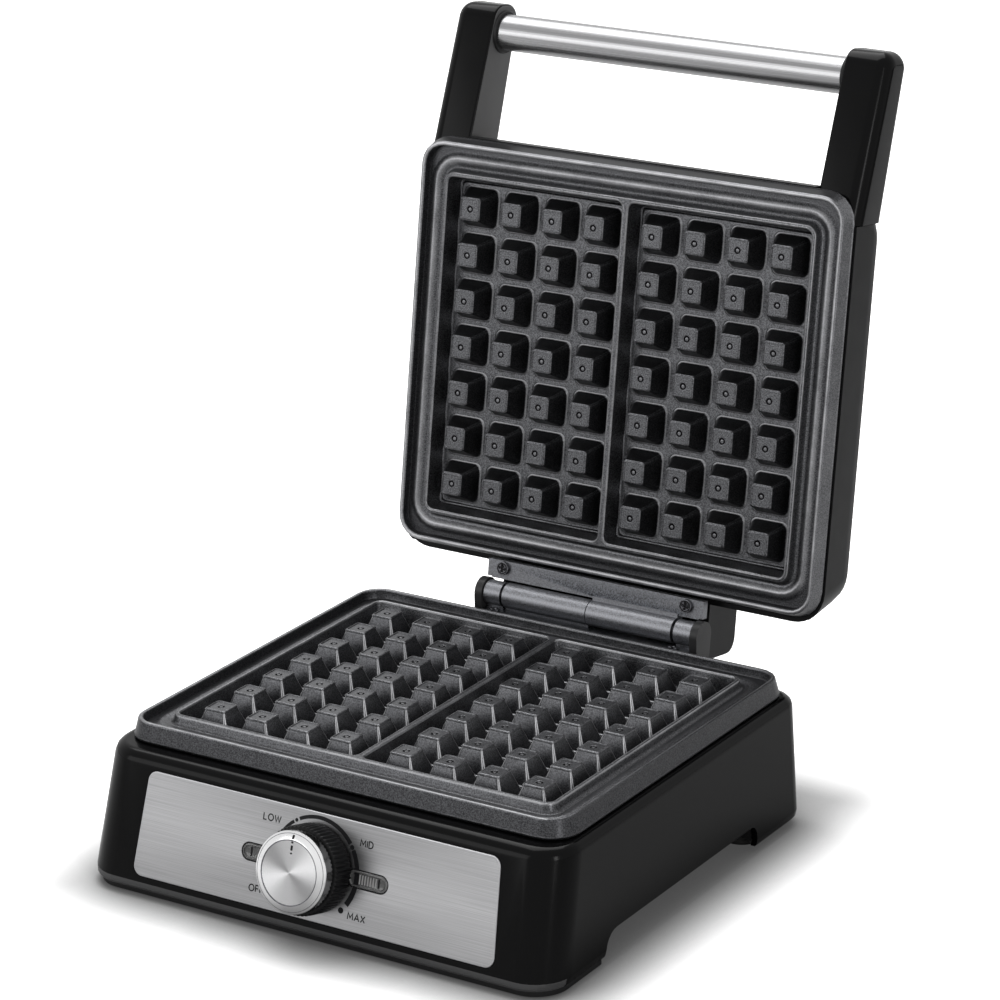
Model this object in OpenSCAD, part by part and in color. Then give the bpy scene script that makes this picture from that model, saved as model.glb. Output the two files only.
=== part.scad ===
// Waffle maker with two rectangular waffles, shown with its lid open.
// Origin on the table under the middle of the open appliance, +Z up, front towards -Y.

/* [Waffle grid] */
// Peg columns in one waffle
waffle_cols = 4; // [3:1:5]
// Peg rows in one waffle
waffle_rows = 7; // [5:1:9]
// Distance between peg columns
col_pitch = 23; // [21.5:0.5:25]
// Distance between peg rows
row_pitch = 22.5; // [21.5:0.5:25]
// Width of a peg at its top
peg_top_w = 10.4; // [8:0.2:13]
// Width of a peg at the cavity floor
peg_base_w = 19; // [16:0.5:20]
// Height of the pegs above the cavity floor
peg_h = 10.5; // [8:0.5:12]
// Thickness of the divider at its top
divider_w = 2.8; // [2:0.2:5]
// Strip of floor between the outer pegs and the cavity wall
edge_rib = 2.8; // [2:0.2:5]
// Inward lean of the cavity walls from lip to floor
wall_draft = 2.3; // [1:0.1:3.5]

/* [Plates] */
// Rim and lip of a plate below its peg tops
rim_drop = 1; // [0.4:0.1:1.6]
// Width of the lip around the cavities
lip_w = 2.5; // [2:0.1:4]
// Width of the gutter beside the cavities
gutter_side_w = 10.5; // [9:0.5:14]
// Width of the gutter ahead of and behind the cavities
gutter_end_w = 11.4; // [9:0.2:15]
// Depth of the gutter below the rim
gutter_depth = 4.5; // [4:0.1:5]
// Thickness of the outer rim
rim_w = 2.4; // [2:0.1:3.4]
// Height of the lower plate's skirt
lower_skirt_h = 8.7; // [8:0.1:9.5]
// Height of the upper plate's skirt
upper_skirt_h = 7.4; // [7.2:0.1:8]
// Outward flare of the skirt from rim to foot
skirt_flare = 2; // [0.5:0.1:2.4]
// Corner radius of the rim
plate_corner_r = 12; // [8:0.5:16]
// Corner radius of the lip
lip_corner_r = 6; // [4:0.5:9]
// Thickness of the casting
plate_wall = 3; // [2.4:0.1:3.4]

/* [Base] */
// Height of the lower peg tops above the table
grid_z = 73.6; // [72:0.2:86]
// Step from the plate's rim out to the housing's side
shelf_side = 6.7; // [5:0.1:10]
// Step from the plate's rim out to the housing's front
shelf_front = 11.3; // [9:0.1:18]
// Step from the plate's rim out to the housing's back
shelf_rear = 3.7; // [3:0.1:6]
// Lean of the control face from the vertical
front_tilt = 15.1; // [8:0.1:20]
// Lean of the housing's sides from the vertical
side_tilt = 3.1; // [1:0.1:5]
// Radius of the housing's front corners
front_corner_r = 18; // [12:0.5:20]
// Radius of the housing's rear corners
rear_corner_r = 12; // [8:0.5:14]
// Rounding of the housing's top edge
shoulder_r = 4.5; // [3:0.1:4.8]
// Wall thickness of the plastic mouldings
shell_wall = 2.6; // [2:0.1:3]
// Height of the arches under the housing
arch_h = 15; // [11:0.5:17]
// Diameter of the rubber feet
foot_d = 20; // [14:0.5:22]

/* [Control face] */
// Step from the shelf down to the steel panel
panel_step = 6; // [5:0.1:8]
// Bare strip from the housing's side to the steel panel
panel_margin = 28.5; // [22:0.1:34]
// Height of the steel panel along the face
panel_h = 48.9; // [44:0.1:49.4]
// Thickness of the steel panel
panel_t = 0.8; // [0.7:0.1:1]
// Corner radius of the steel panel
panel_corner_r = 5; // [3:0.5:8]
// Distance of the knob below the panel's upper edge
knob_drop = 25; // [24:0.1:26]
// Diameter of the knob's ribbed skirt
knob_skirt_d = 40; // [36:0.5:42]
// Diameter of the knob's metal cap
knob_cap_d = 36.8; // [30:0.2:37]
// Height of the knob's face above the housing
knob_h = 20; // [18:0.5:24]
// Ribs round the knob's skirt
knob_ribs = 60; // [36:2:80]
// Distance from the knob to the middle of each indicator window
window_x = 28; // [27:0.5:40]
// Length of an indicator window
window_l = 21; // [14:0.5:24]
// Height of an indicator window
window_h = 7.6; // [6.6:0.2:9]

/* [Hinge] */
// Opening angle of the lid from closed
open_angle = 99.1; // [90:0.1:100]
// Hinge axis behind the plates' rear edge
hinge_reach = 17.6; // [17:0.1:22]
// Hinge axis above the lower peg tops
hinge_rise = 0.6; // [0:0.1:2]
// Gap between facing peg tops when closed
closed_gap = 2.6; // [2.4:0.1:4]
// Outer diameter of the hinge barrels
barrel_d = 12.4; // [11:0.1:12.6]
// Diameter of the hinge pin
pin_d = 5; // [4:0.5:6]
// Length of one hinge barrel
barrel_l = 47; // [36:0.2:50]
// Width of each end lug
lug_w = 9; // [4:0.1:10]

/* [Lid] */
// Height of the lid shell above the upper peg tops
lid_top = 37.5; // [36:0.5:44]
// Step from the plate's rim out to the lid shell's side
lid_side = 3; // [2.8:0.1:5]
// Step from the plate's rim out to the lid shell's front
lid_front = 2.5; // [2.4:0.1:6]
// Step from the plate's rim out to the lid shell's rear
lid_rear = 5.3; // [5:0.1:8]
// Corner radius of the lid shell
lid_corner_r = 16.5; // [15:0.5:20]
// Rounding of the lid shell's front edge
lid_front_r = 23; // [12:0.5:24]
// Reach of the hinge block behind the hinge axis
block_reach = 14.9; // [12:0.1:16]
// Height of the hinge block's underside above the upper peg tops
block_under = 10; // [10:0.1:12]

/* [Handle] */
// Width of a handle arm
arm_w = 23; // [20:0.5:26]
// Seam between arm and lid shell, behind the plates' front edge
seam_in = 13.4; // [12:0.1:13.8]
// Handle bar ahead of the plates' front edge
bar_reach = 51.7; // [44:0.1:70]
// Diameter of the handle bar
bar_d = 17.6; // [14:0.2:19]
// Rise of the arm's lower face for each mm along the arm
arm_lower_slope = 0.25; // [0.2:0.01:0.27]
// Rise of the arm's upper face for each mm along the arm
arm_upper_slope = 0.174; // [0.16:0.002:0.3]

/* [Hidden] */

$fn = 48;
// Overlap that lets cuts run past a face
over = 1;
// Thickness of one slice of a rounded form
slice = 0.01;
// Radial clearance of a pin or shaft that turns
run_gap = 0.05;
// Clearance of parts that sit inside one another
seat_gap = 0.3;

// Middle of the plates, which puts the origin under the middle of the open appliance
plate_y = -33.5;

// Cavities, measured at the top of their walls
cavity_w = (waffle_cols - 1) * col_pitch + peg_base_w + 2 * (edge_rib + wall_draft);
cavity_d = (waffle_rows - 1) * row_pitch + peg_base_w + 2 * (edge_rib + wall_draft);
cavity_x = (divider_w + cavity_w) / 2;
lip_out_w = 2 * cavity_w + divider_w + 2 * lip_w;
lip_out_d = cavity_d + 2 * lip_w;
plate_w = lip_out_w + 2 * (gutter_side_w + rim_w);
plate_d = lip_out_d + 2 * (gutter_end_w + rim_w);
plate_front_y = plate_y - plate_d / 2;
plate_rear_y = plate_y + plate_d / 2;
// Drop from the peg tops to the underside of the pan
pan_drop = peg_h + plate_wall;
// Raised ledge in the middle of the gutter
ledge_in = 2.4;
ledge_w = 3;
ledge_rise = 1.5;

// Heating element under a plate
element_r = 3.3;
element_bend = 20;
element_half_w = lip_out_w / 2 - 24;
element_half_d = lip_out_d / 2 - 26.5;
element_drop = pan_drop + element_r + 0.1;
tail_x = 14;
tail_bend = 10;
lower_tail = 20;
upper_tail = 12;
tab_l = 5;

// Reflector tray, and the bolts that clamp a plate over it
tray_gap = 9.1;
tray_drop = pan_drop + tray_gap;
tray_t = 1;
tray_w = 2 * (element_half_w + 13);
bolt_x = lip_out_w / 2 - 42;
bolt_y = lip_out_d / 2 - 13.5;
bolt_d = 4;
bolt_head_d = 8;
bolt_head_h = 2.6;
bolt_bite = 6;
bolt_hole = 7.5;
lower_seat = tray_drop + tray_t + 8;
upper_seat = tray_drop + tray_t + 6;
post_d = 12;
tray_d = 2 * (bolt_y + 8);

// Base housing
shelf_gap = 0.5;
shelf_z = grid_z - rim_drop - lower_skirt_h - shelf_gap;
body_half_w = plate_w / 2 + shelf_side;
body_front_y = plate_front_y - shelf_front;
body_rear_y = plate_rear_y + shelf_rear;
opening_inset = 7;
opening_w = plate_w - 2 * opening_inset;
opening_d = plate_d - 2 * opening_inset;
// Height where the lower edge starts to curl in, and the housing's lowest edge
hem_z = 7.6;
hem_bottom_z = 3.9;
hem_in = 1.6;

function side_x(z) = body_half_w + (shelf_z - z) * tan(side_tilt);
function front_y(z) = body_front_y - (shelf_z - z) * tan(front_tilt);

// Arches between the feet
arch_r = 10;
front_foot_end = body_front_y + 31;
side_arch_end = plate_rear_y - 43;
rear_arch_half_w = body_half_w - 36.5;
gland_d = 12;
gland_x = rear_arch_half_w + 7;
gland_z = 32;
pan_wall = 2;
pan_flat_z = arch_h + 0.4;
pan_rim_z = pan_flat_z + pan_wall + 2.6;
front_pan_z = 2.6;
rear_pan_z = 6.4;
skid_z = 0.8;
skid_in = 2.2;
skid_wall = 2;
pan_front_in = 4;
pan_gap = 0.45;
foot_front = [body_half_w - 21.7, body_front_y + 11.3];
foot_rear = [body_half_w - 12.7, plate_rear_y - 29.5];
foot_stem_d = 5;
housing_post_x = body_half_w - 8.4;
housing_post_y = plate_d / 4;
housing_post_d = 8;

// Control face
panel_top_z = shelf_z - panel_step;
knob_z = panel_top_z - knob_drop * cos(front_tilt);
knob_y = front_y(knob_z);
panel_bottom_z = panel_top_z - panel_h * cos(front_tilt);
recess = panel_t - 0.2;
bush_d = 10;
bush_top = 5;
nut_af = 14;
nut_h = 3;
knob_gap = 0.9;
skirt_top = knob_h - 7.5;
knob_socket_top = knob_h - 5;
shaft_d = 6;
shaft_flat = 1.2;
thermostat_w = 34;
thermostat_h = 24;
thermostat_l = 16;
thermostat_back = shell_wall + thermostat_l;
terminal_l = 7;
shaft_end = 3;
bulb_line_r = 0.9;
bulb_line_bend = 5;
bulb_line_z = knob_z - thermostat_back * sin(front_tilt);
bulb_line_y = knob_y + thermostat_back * cos(front_tilt) - over;
bulb_r = 2;
bulb_l = 50;
lens_proud = 0.45;
flange_t = 1;
lamp_d = 5;
lamp_l = 12;

// Hinge, and the lid drawn closed with z = 0 at the upper peg tops
hinge_y = plate_rear_y + hinge_reach;
hinge_z = grid_z + hinge_rise;
axis_up = hinge_rise - closed_gap;
barrel_r = barrel_d / 2;
barrel_gap = 0.4;
lug_x = barrel_l + 1.5;
lug_out = lug_x + lug_w;
ear_x = lug_out + 0.5;
ear_w = 4;
ear_out = ear_x + ear_w;
ear_r = barrel_r + 0.8;
bracket_top = hinge_z - barrel_r - 0.6;
bracket_front = plate_rear_y + skirt_flare + 0.5;
bracket_screw_x = lug_x + 1.2;
bracket_screw_y = hinge_y - 9.1;
leaf_bottom = axis_up + 1;
leaf_t = 4;
leaf_front = plate_rear_y + 1.5;
leaf_wide_rear = hinge_y - ear_r - 0.6;
leaf_rear = hinge_y - barrel_r - 0.9;
leaf_half_w = ear_out - 2;
leaf_screw_x = lug_x + 2.5;
leaf_screw_y = leaf_front + 3.4;
screw_head_d = 6.6;
screw_head_h = 1.8;
screw_d = 3.4;
housing_screw_l = 14;
bracket_screw_l = 12;
leaf_screw_l = 18;

// Lid shell
lid_bottom = upper_skirt_h + rim_drop + 0.3;
lid_half_w = plate_w / 2 + lid_side;
lid_front_y = plate_front_y - lid_front;
lid_rear_y = plate_rear_y + lid_rear;
lid_side_r = 9;
lid_rear_lean = 0.25;
block_half_w = ear_out - 4.5;
block_rear_y = hinge_y + block_reach;
block_edge_r = 7;
plug_t = 2;

// Rear shelf of the housing; the open lid's hinge block comes to rest against its back
rest_y = hinge_y + sin(open_angle) * (block_under - axis_up) + cos(open_angle) * block_reach;
ledge_back_y = rest_y - seat_gap;
ledge_bottom_z = shelf_z - 23.4;

// Handle
seam_y = plate_front_y + seam_in;
bar_y = plate_front_y - bar_reach;
arm_end_y = bar_y - 13.3;
arm_in_x = lid_half_w - arm_w;
arm_root_z = lid_top - 1.5;
arm_end_r = 8.5;
arm_edge_r = 7;
arm_inner_r = 2;
bar_socket = 8;
collar_t = 1.5;
function arm_lower(y) = lid_bottom + arm_lower_slope * (seam_y - y);
function arm_upper(y) = arm_root_z + arm_upper_slope * (seam_y - y);
bar_z = (arm_lower(bar_y) + arm_upper(bar_y)) / 2 + 0.2;
arm_screw_x = arm_in_x + arm_w / 2;
arm_screw_l = 16;
arm_screw_low = 9;
arm_screw_pitch = 11;
arm_screw_z = [lid_bottom + arm_screw_low, lid_bottom + arm_screw_low + arm_screw_pitch];

black = [0.05, 0.05, 0.055];
charcoal = [0.2, 0.2, 0.21];
casting = [0.28, 0.29, 0.3];
steel = [0.72, 0.72, 0.73];
copper = [0.72, 0.45, 0.3];

module rrect(w, d, r) {
    square([w - 2 * r, d], center = true);
    square([w, d - 2 * r], center = true);
    for (x = [-1, 1], y = [-1, 1]) translate([x * (w / 2 - r), y * (d / 2 - r)]) circle(r);
}

module pill(l, h) {
    square([l - h, h], center = true);
    for (s = [-1, 1]) translate([s * (l - h) / 2, 0]) circle(d = h);
}

module slab(z0, z1) { translate([0, 0, z0]) linear_extrude(z1 - z0) children(); }

module along_x(x0, x1) { translate([x0, 0, 0]) rotate([90, 0, 90]) linear_extrude(x1 - x0) children(); }

module along_y(y0, y1) { translate([0, y1, 0]) rotate([90, 0, 0]) linear_extrude(y1 - y0) children(); }

module x_rod(r, x0, x1) { translate([x0, 0, 0]) rotate([0, 90, 0]) cylinder(r = r, h = x1 - x0); }

module y_rod(r, y0, y1) { translate([0, y0, 0]) rotate([-90, 0, 0]) cylinder(r = r, h = y1 - y0); }

module both_sides() { children(); mirror([1, 0, 0]) children(); }

module at_corners(x, y) { for (i = [-1, 1], j = [-1, 1]) translate([i * x, j * y, 0]) children(); }

module at_plate() { translate([0, plate_y, grid_z]) children(); }

module at_lid() {
    translate([0, hinge_y, hinge_z]) rotate([-open_angle, 0, 0])
        translate([0, -hinge_y, -axis_up]) children();
}

module at_lid_plate() { at_lid() translate([0, plate_y, 0]) mirror([0, 0, 1]) children(); }

module at_hinge() { translate([0, hinge_y, hinge_z]) children(); }

module at_panel() { translate([0, knob_y, knob_z]) rotate([90 - front_tilt, 0, 0]) children(); }

// Pan-head screw with its seat at z = 0 and its shank upwards
module screw(d, l, head_d, head_h) {
    difference() {
        translate([0, 0, -head_h]) cylinder(d = head_d, h = head_h);
        for (a = [0, 90]) rotate(a) translate([-head_d * 0.3, -0.5, -head_h - over])
            cube([head_d * 0.6, 1, over + 1.2]);
    }
    cylinder(d = d, h = l);
}

// ---- Waffle plates: z = 0 at the peg tops, the casting below ----

module ridge() {
    polygon([[-peg_base_w / 2, -peg_h - over], [peg_base_w / 2, -peg_h - over],
             [peg_base_w / 2, -peg_h], [peg_top_w / 2, 0], [-peg_top_w / 2, 0],
             [-peg_base_w / 2, -peg_h]]);
}

// Crossed ridges leave the pegs where they meet
module pegs() {
    intersection() {
        for (j = [0:waffle_rows - 1])
            translate([0, (j - (waffle_rows - 1) / 2) * row_pitch, 0])
                along_x(-lip_out_w / 2, lip_out_w / 2) ridge();
        for (s = [-1, 1], i = [0:waffle_cols - 1])
            translate([s * cavity_x + (i - (waffle_cols - 1) / 2) * col_pitch, 0, 0])
                along_y(-lip_out_d / 2, lip_out_d / 2) ridge();
    }
}

module leaning_walls(w) {
    polygon([[-w / 2, -rim_drop + over], [-w / 2, -rim_drop],
             [-w / 2 + wall_draft, -peg_h], [w / 2 - wall_draft, -peg_h],
             [w / 2, -rim_drop], [w / 2, -rim_drop + over]]);
}

module cavity() {
    intersection() {
        along_x(-cavity_w, cavity_w) leaning_walls(cavity_d);
        along_y(-cavity_d, cavity_d) leaning_walls(cavity_w);
        slab(-pan_drop, 2 * over) rrect(cavity_w, cavity_d, lip_corner_r - lip_w);
    }
}

// Rounded block whose four sides flare outwards towards its foot
module flared_block(z0, z1, w, d, r, flare) {
    along_x(-w / 2 + r, w / 2 - r)
        polygon([[-d / 2 - flare, z0], [d / 2 + flare, z0], [d / 2, z1], [-d / 2, z1]]);
    along_y(-d / 2 + r, d / 2 - r)
        polygon([[-w / 2 - flare, z0], [w / 2 + flare, z0], [w / 2, z1], [-w / 2, z1]]);
    at_corners(w / 2 - r, d / 2 - r) translate([0, 0, z0])
        cylinder(r1 = r + flare, r2 = r, h = z1 - z0);
}

// Ring between a grown lip outline and a shrunk rim outline
module gutter_ring(from_lip, from_rim) {
    difference() {
        rrect(plate_w - 2 * (rim_w + from_rim), plate_d - 2 * (rim_w + from_rim),
              plate_corner_r - rim_w);
        rrect(lip_out_w + 2 * from_lip, lip_out_d + 2 * from_lip, lip_corner_r + from_lip);
    }
}

module grid_plate(skirt_h) {
    difference() {
        union() {
            flared_block(-rim_drop - skirt_h, -rim_drop, plate_w, plate_d, plate_corner_r,
                         skirt_flare);
            slab(-pan_drop, -rim_drop) rrect(lip_out_w, lip_out_d, lip_corner_r);
        }
        slab(-rim_drop - gutter_depth, over) difference() {
            gutter_ring(0, 0);
            difference() {
                rrect(lip_out_w + 2 * (ledge_in + ledge_w), lip_out_d + 2 * (ledge_in + ledge_w),
                      lip_corner_r + ledge_in + ledge_w);
                rrect(lip_out_w + 2 * ledge_in, lip_out_d + 2 * ledge_in,
                      lip_corner_r + ledge_in);
            }
        }
        slab(-rim_drop - gutter_depth + ledge_rise, over) gutter_ring(0, 0);
        slab(-rim_drop - skirt_h - over, -rim_drop - gutter_depth - plate_wall) gutter_ring(0, 0);
        for (s = [-1, 1]) translate([s * cavity_x, 0, 0]) cavity();
    }
    pegs();
    at_corners(bolt_x, bolt_y) translate([0, 0, -tray_drop]) difference() {
        cylinder(d = 10, h = tray_gap + over);
        translate([0, 0, -over]) cylinder(d = bolt_d, h = over + bolt_hole);
    }
}

// Sheathed element: a rounded loop whose two ends turn away from the plate
module element(tail) {
    w = element_half_w;
    d = element_half_d;
    b = element_bend;
    translate([0, 0, -element_drop]) {
        translate([0, d, 0]) x_rod(element_r, b - w, w - b);
        both_sides() {
            translate([w, 0, 0]) y_rod(element_r, b - d, d - b);
            translate([w - b, d - b, 0]) rotate_extrude(angle = 90) translate([b, 0]) circle(element_r);
            translate([w - b, b - d, 0]) rotate([0, 0, -90])
                rotate_extrude(angle = 90) translate([b, 0]) circle(element_r);
            translate([0, -d, 0]) x_rod(element_r, tail_x + tail_bend, w - b);
            translate([tail_x + tail_bend, -d, -tail_bend]) rotate([90, 0, 0]) rotate([0, 0, 90])
                rotate_extrude(angle = 90) translate([tail_bend, 0]) circle(element_r);
            translate([tail_x, -d, -tail]) cylinder(r = element_r, h = tail - tail_bend);
            translate([tail_x, -d, -tail - tab_l]) cylinder(r = 1.2, h = tab_l + over);
        }
    }
}

// Saddles cast against the pan that hold the element
module clamps() {
    r = element_r + run_gap;
    both_sides() translate([element_half_w, 0, -element_drop]) difference() {
        translate([-10, -6, -element_r - 1.6]) cube([20, 12, element_r + 1.6 + element_drop - pan_drop]);
        y_rod(r, -7, 7);
        translate([-r, -7, 0]) cube([2 * r, 14, 2 * r]);
    }
}

// Pressed tray under the element, slotted where the element's tails pass
module reflector() {
    r = 10;
    difference() {
        slab(-tray_drop - tray_t, -pan_drop) rrect(tray_w, tray_d, r);
        slab(-tray_drop, 0) rrect(tray_w - 2 * tray_t, tray_d - 2 * tray_t, r - tray_t);
        at_corners(bolt_x, bolt_y) translate([0, 0, -tray_drop - 2 * over])
            cylinder(d = bolt_d + 2 * seat_gap, h = 3 * over);
        translate([-tail_x - 8, -element_half_d - 8, -tray_drop - 2 * over])
            cube([2 * tail_x + 16, 16, 3 * over]);
    }
}

module plate_bolt_set(seat) {
    at_corners(bolt_x, bolt_y) translate([0, 0, -seat])
        screw(bolt_d - 2 * run_gap, seat - tray_drop + bolt_bite, bolt_head_d, bolt_head_h);
}

module lower_plate() { color(charcoal) at_plate() grid_plate(lower_skirt_h); }
module lower_element() { color(steel) at_plate() element(lower_tail); }
module lower_clamps() { color(casting) at_plate() clamps(); }
module lower_reflector() { color(steel) at_plate() reflector(); }
module upper_plate() { color(charcoal) at_lid_plate() grid_plate(upper_skirt_h); }
module upper_element() { color(steel) at_lid_plate() element(upper_tail); }
module upper_clamps() { color(casting) at_lid_plate() clamps(); }
module upper_reflector() { color(steel) at_lid_plate() reflector(); }

// ---- Base housing ----

// Plan outline of the housing at height z, drawn in by inset
module housing_slice(z, inset) {
    x = side_x(z) - inset;
    yf = front_y(z) + inset;
    yr = body_rear_y - inset;
    rf = max(front_corner_r - inset, 3);
    rr = max(rear_corner_r - inset, 3);
    for (s = [-1, 1]) {
        translate([s * (x - rf), yf + rf, z]) cylinder(r = rf, h = slice, $fn = 32);
        translate([s * (x - rr), yr - rr, z]) cylinder(r = rr, h = slice, $fn = 32);
    }
}

module housing_outer() {
    hull() {
        housing_slice(hem_bottom_z, hem_in);
        housing_slice(hem_bottom_z + 1.1, hem_in * 0.4);
        housing_slice(hem_z, 0);
        for (a = [0:30:90])
            housing_slice(shelf_z - slice - shoulder_r * (1 - sin(a)), shoulder_r * (1 - cos(a)));
    }
}

module housing_inner() {
    hull() {
        housing_slice(hem_bottom_z - over, shell_wall + hem_in);
        housing_slice(hem_z, shell_wall);
        housing_slice(shelf_z - shoulder_r, shell_wall);
        housing_slice(shelf_z - shell_wall, shoulder_r);
    }
}

// Side view of an arch, with rounded upper corners
module arch(y0, y1, h) {
    polygon([[y0, -over], [y1, -over], [y1, h - arch_r / 2],
             for (a = [0:15:90])
                 [y1 - arch_r / 2 + arch_r / 2 * cos(a), h - arch_r / 2 + arch_r / 2 * sin(a)],
             for (a = [90:-15:0]) [y0 - arch_r * cos(a) + arch_r, h - arch_r + arch_r * sin(a)],
             [y0, h - arch_r]]);
}

module ear_profile() {
    foot = shelf_z - hinge_z - over;
    circle(ear_r);
    polygon([[-ear_r, 0], [-ear_r, foot], [ear_r + foot * tan(open_angle - 90), foot], [ear_r, 0]]);
}

module rear_ledge(inset) {
    r = 8 - inset;
    slab(ledge_bottom_z + inset, shelf_z - inset)
        translate([0, (body_rear_y - 12 + ledge_back_y - inset) / 2])
            rrect(2 * (ear_out - inset), ledge_back_y - inset - body_rear_y + 12, r);
}

module panel_outline(grow) {
    top = knob_drop + grow;
    bottom = knob_drop - panel_h - grow;
    wt = side_x(panel_top_z) - panel_margin + grow;
    wb = side_x(panel_bottom_z) - panel_margin + grow;
    r = panel_corner_r;
    polygon([for (c = [[wt - r, top - r, 0], [-wt + r, top - r, 90],
                       [-wb + r, bottom + r, 180], [wb - r, bottom + r, 270]], a = [0:10:90])
             [c[0] + r * cos(c[2] + a), c[1] + r * sin(c[2] + a)]]);
}

module at_housing_posts() {
    for (s = [-1, 1], t = [-1, 1])
        translate([s * housing_post_x, plate_y + t * housing_post_y, 0]) children();
}

module base_shell() {
    color(black) difference() {
        union() {
            difference() {
                union() { housing_outer(); rear_ledge(0); }
                housing_inner();
                rear_ledge(shell_wall);
            }
            at_housing_posts() slab(pan_flat_z + pan_wall + 0.2, shelf_z - shell_wall + 0.2)
                circle(d = housing_post_d);
            both_sides() at_hinge() along_x(ear_x, ear_out) ear_profile();
        }
        translate([0, plate_y, 0]) slab(shelf_z - 2 * shell_wall, shelf_z + over)
            rrect(opening_w, opening_d, plate_corner_r);
        along_x(-body_half_w - 20, body_half_w + 20) arch(front_foot_end, side_arch_end, arch_h);
        along_y(plate_y, body_rear_y + over) arch_across();
        at_panel() {
            slab(-recess, 2 * over) panel_outline(0.1);
            translate([0, 0, -2 * shell_wall - over])
                cylinder(d = bush_d + 0.2, h = 2 * shell_wall + 2 * over);
            for (s = [-1, 1]) translate([s * window_x, 0, 0])
                slab(-2 * shell_wall, over) pill(window_l + 0.1, window_h + 0.1);
        }
        at_housing_posts() slab(0, pan_flat_z + housing_screw_l) circle(d = screw_d);
        at_gland() y_rod(gland_d / 2 + 0.1, -2 * shell_wall, 2 * over);
        for (s = [-1, 1]) translate([s * bracket_screw_x, bracket_screw_y, shelf_z - 2 * shell_wall])
            cylinder(d = screw_d, h = 3 * shell_wall);
    }
}

module arch_across() {
    w = rear_arch_half_w;
    r = arch_r / 2;
    polygon([[-w, -over], [w, -over], for (a = [0:15:90]) [w - r + r * cos(a), arch_h - r + r * sin(a)],
             for (a = [90:15:180]) [-w + r + r * cos(a), arch_h - r + r * sin(a)]]);
}

// Front skid's outline, cut off at the arch
module skid_plan(in) {
    x = side_x(hem_z) - in;
    yf = front_y(hem_z) + in;
    intersection() {
        translate([0, yf + x]) rrect(2 * x, 2 * x, front_corner_r - in);
        translate([-x, yf]) square([2 * x, front_foot_end - seat_gap - yf]);
    }
}

// Floor of the base: flat over the arches, a tub in each foot
module pan_form(in, top) {
    x = side_x(pan_rim_z) - shell_wall - pan_gap - in;
    yf = front_y(hem_z) + shell_wall + pan_gap + in + pan_front_in;
    yr = body_rear_y - shell_wall - pan_gap - in;
    module plan(y0, y1, z0) {
        intersection() {
            translate([0, (yf + yr) / 2, 0]) slab(z0, top) rrect(2 * x, yr - yf, front_corner_r - 4);
            translate([-x - over, y0, 0]) cube([2 * x + 2 * over, y1 - y0, top + over]);
        }
    }
    plan(yf - over, yr + over, pan_flat_z + in);
    plan(yf - over, front_foot_end - seat_gap - in, front_pan_z + in);
    difference() {
        plan(side_arch_end + seat_gap + in, yr + over, rear_pan_z + in);
        translate([-rear_arch_half_w - seat_gap - in, plate_y, 0])
            cube([2 * (rear_arch_half_w + seat_gap + in), plate_d, top + over]);
    }
}

module at_feet() {
    for (s = [-1, 1]) {
        translate([s * foot_front[0], foot_front[1], front_pan_z]) children(0);
        translate([s * foot_rear[0], foot_rear[1], rear_pan_z]) children(1);
    }
}

module base_pan() {
    color(black) difference() {
        union() {
            difference() { pan_form(0, pan_rim_z); pan_form(pan_wall, pan_rim_z + over); }
            difference() {
                slab(skid_z, front_pan_z + 1) skid_plan(skid_in);
                slab(skid_z - over, front_pan_z) skid_plan(skid_in + skid_wall);
            }
            at_plate() at_corners(bolt_x, bolt_y)
                slab(pan_flat_z - grid_z, -tray_drop - tray_t) circle(d = post_d);
        }
        at_plate() at_corners(bolt_x, bolt_y) {
            translate([0, 0, -grid_z]) cylinder(d = bolt_d + 2 * seat_gap, h = grid_z);
            slab(-grid_z, -lower_seat) circle(d = bolt_head_d + 2 * seat_gap);
        }
        at_feet() {
            translate([0, 0, -over]) cylinder(d = foot_stem_d + 0.2, h = pan_wall + 2 * over);
            translate([0, 0, -over]) cylinder(d = foot_stem_d + 0.2, h = pan_wall + 2 * over);
        }
        at_housing_posts() slab(0, pan_rim_z) circle(d = screw_d + 0.4);
    }
}

module front_panel() {
    color(steel) at_panel() difference() {
        slab(-recess, panel_t - recess) panel_outline(0);
        translate([0, 0, -over]) cylinder(d = bush_d + 0.4, h = 3 * over);
        for (s = [-1, 1]) translate([s * window_x, 0, 0])
            slab(-over, 2 * over) pill(window_l + 0.1, window_h + 0.1);
    }
}

// Clear window with a flange behind the housing and a socket for its lamp
module window(x) {
    color([0.8, 0.8, 0.78, 0.5]) at_panel() translate([x, 0, 0]) difference() {
        union() {
            slab(-shell_wall - over, lens_proud) pill(window_l, window_h);
            slab(-shell_wall - flange_t, -shell_wall) pill(window_l + 3, window_h + 3);
            slab(-shell_wall - flange_t - lamp_l / 2, -shell_wall) circle(d = lamp_d + 2.4);
        }
        slab(-shell_wall - 2 * lamp_l, -shell_wall) circle(d = lamp_d + 2 * run_gap);
    }
}

module window_left() { window(-window_x); }
module window_right() { window(window_x); }

module indicator_lamps() {
    color([0.9, 0.5, 0.3]) for (s = [-1, 1])
        at_panel() translate([s * window_x, 0, -shell_wall - 0.4 - lamp_l]) {
            cylinder(d = lamp_d, h = lamp_l - lamp_d / 2);
            translate([0, 0, lamp_l - lamp_d / 2]) sphere(d = lamp_d);
            for (i = [-1, 1]) translate([i * 1.2, 0, -6]) cylinder(d = 0.8, h = 7);
        }
}

module ribbed_disc(d, ribs) {
    step = 180 / ribs;
    polygon([for (i = [0:2 * ribs - 1]) let (r = d / 2 - (i % 2) * 0.6, a = i * step)
             [r * cos(a), r * sin(a)]]);
}

module shaft_section(gap) {
    intersection() {
        circle(d = shaft_d + 2 * gap);
        translate([-shaft_d, -shaft_d]) square([2 * shaft_d, 1.5 * shaft_d - shaft_flat + gap]);
    }
}

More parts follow.
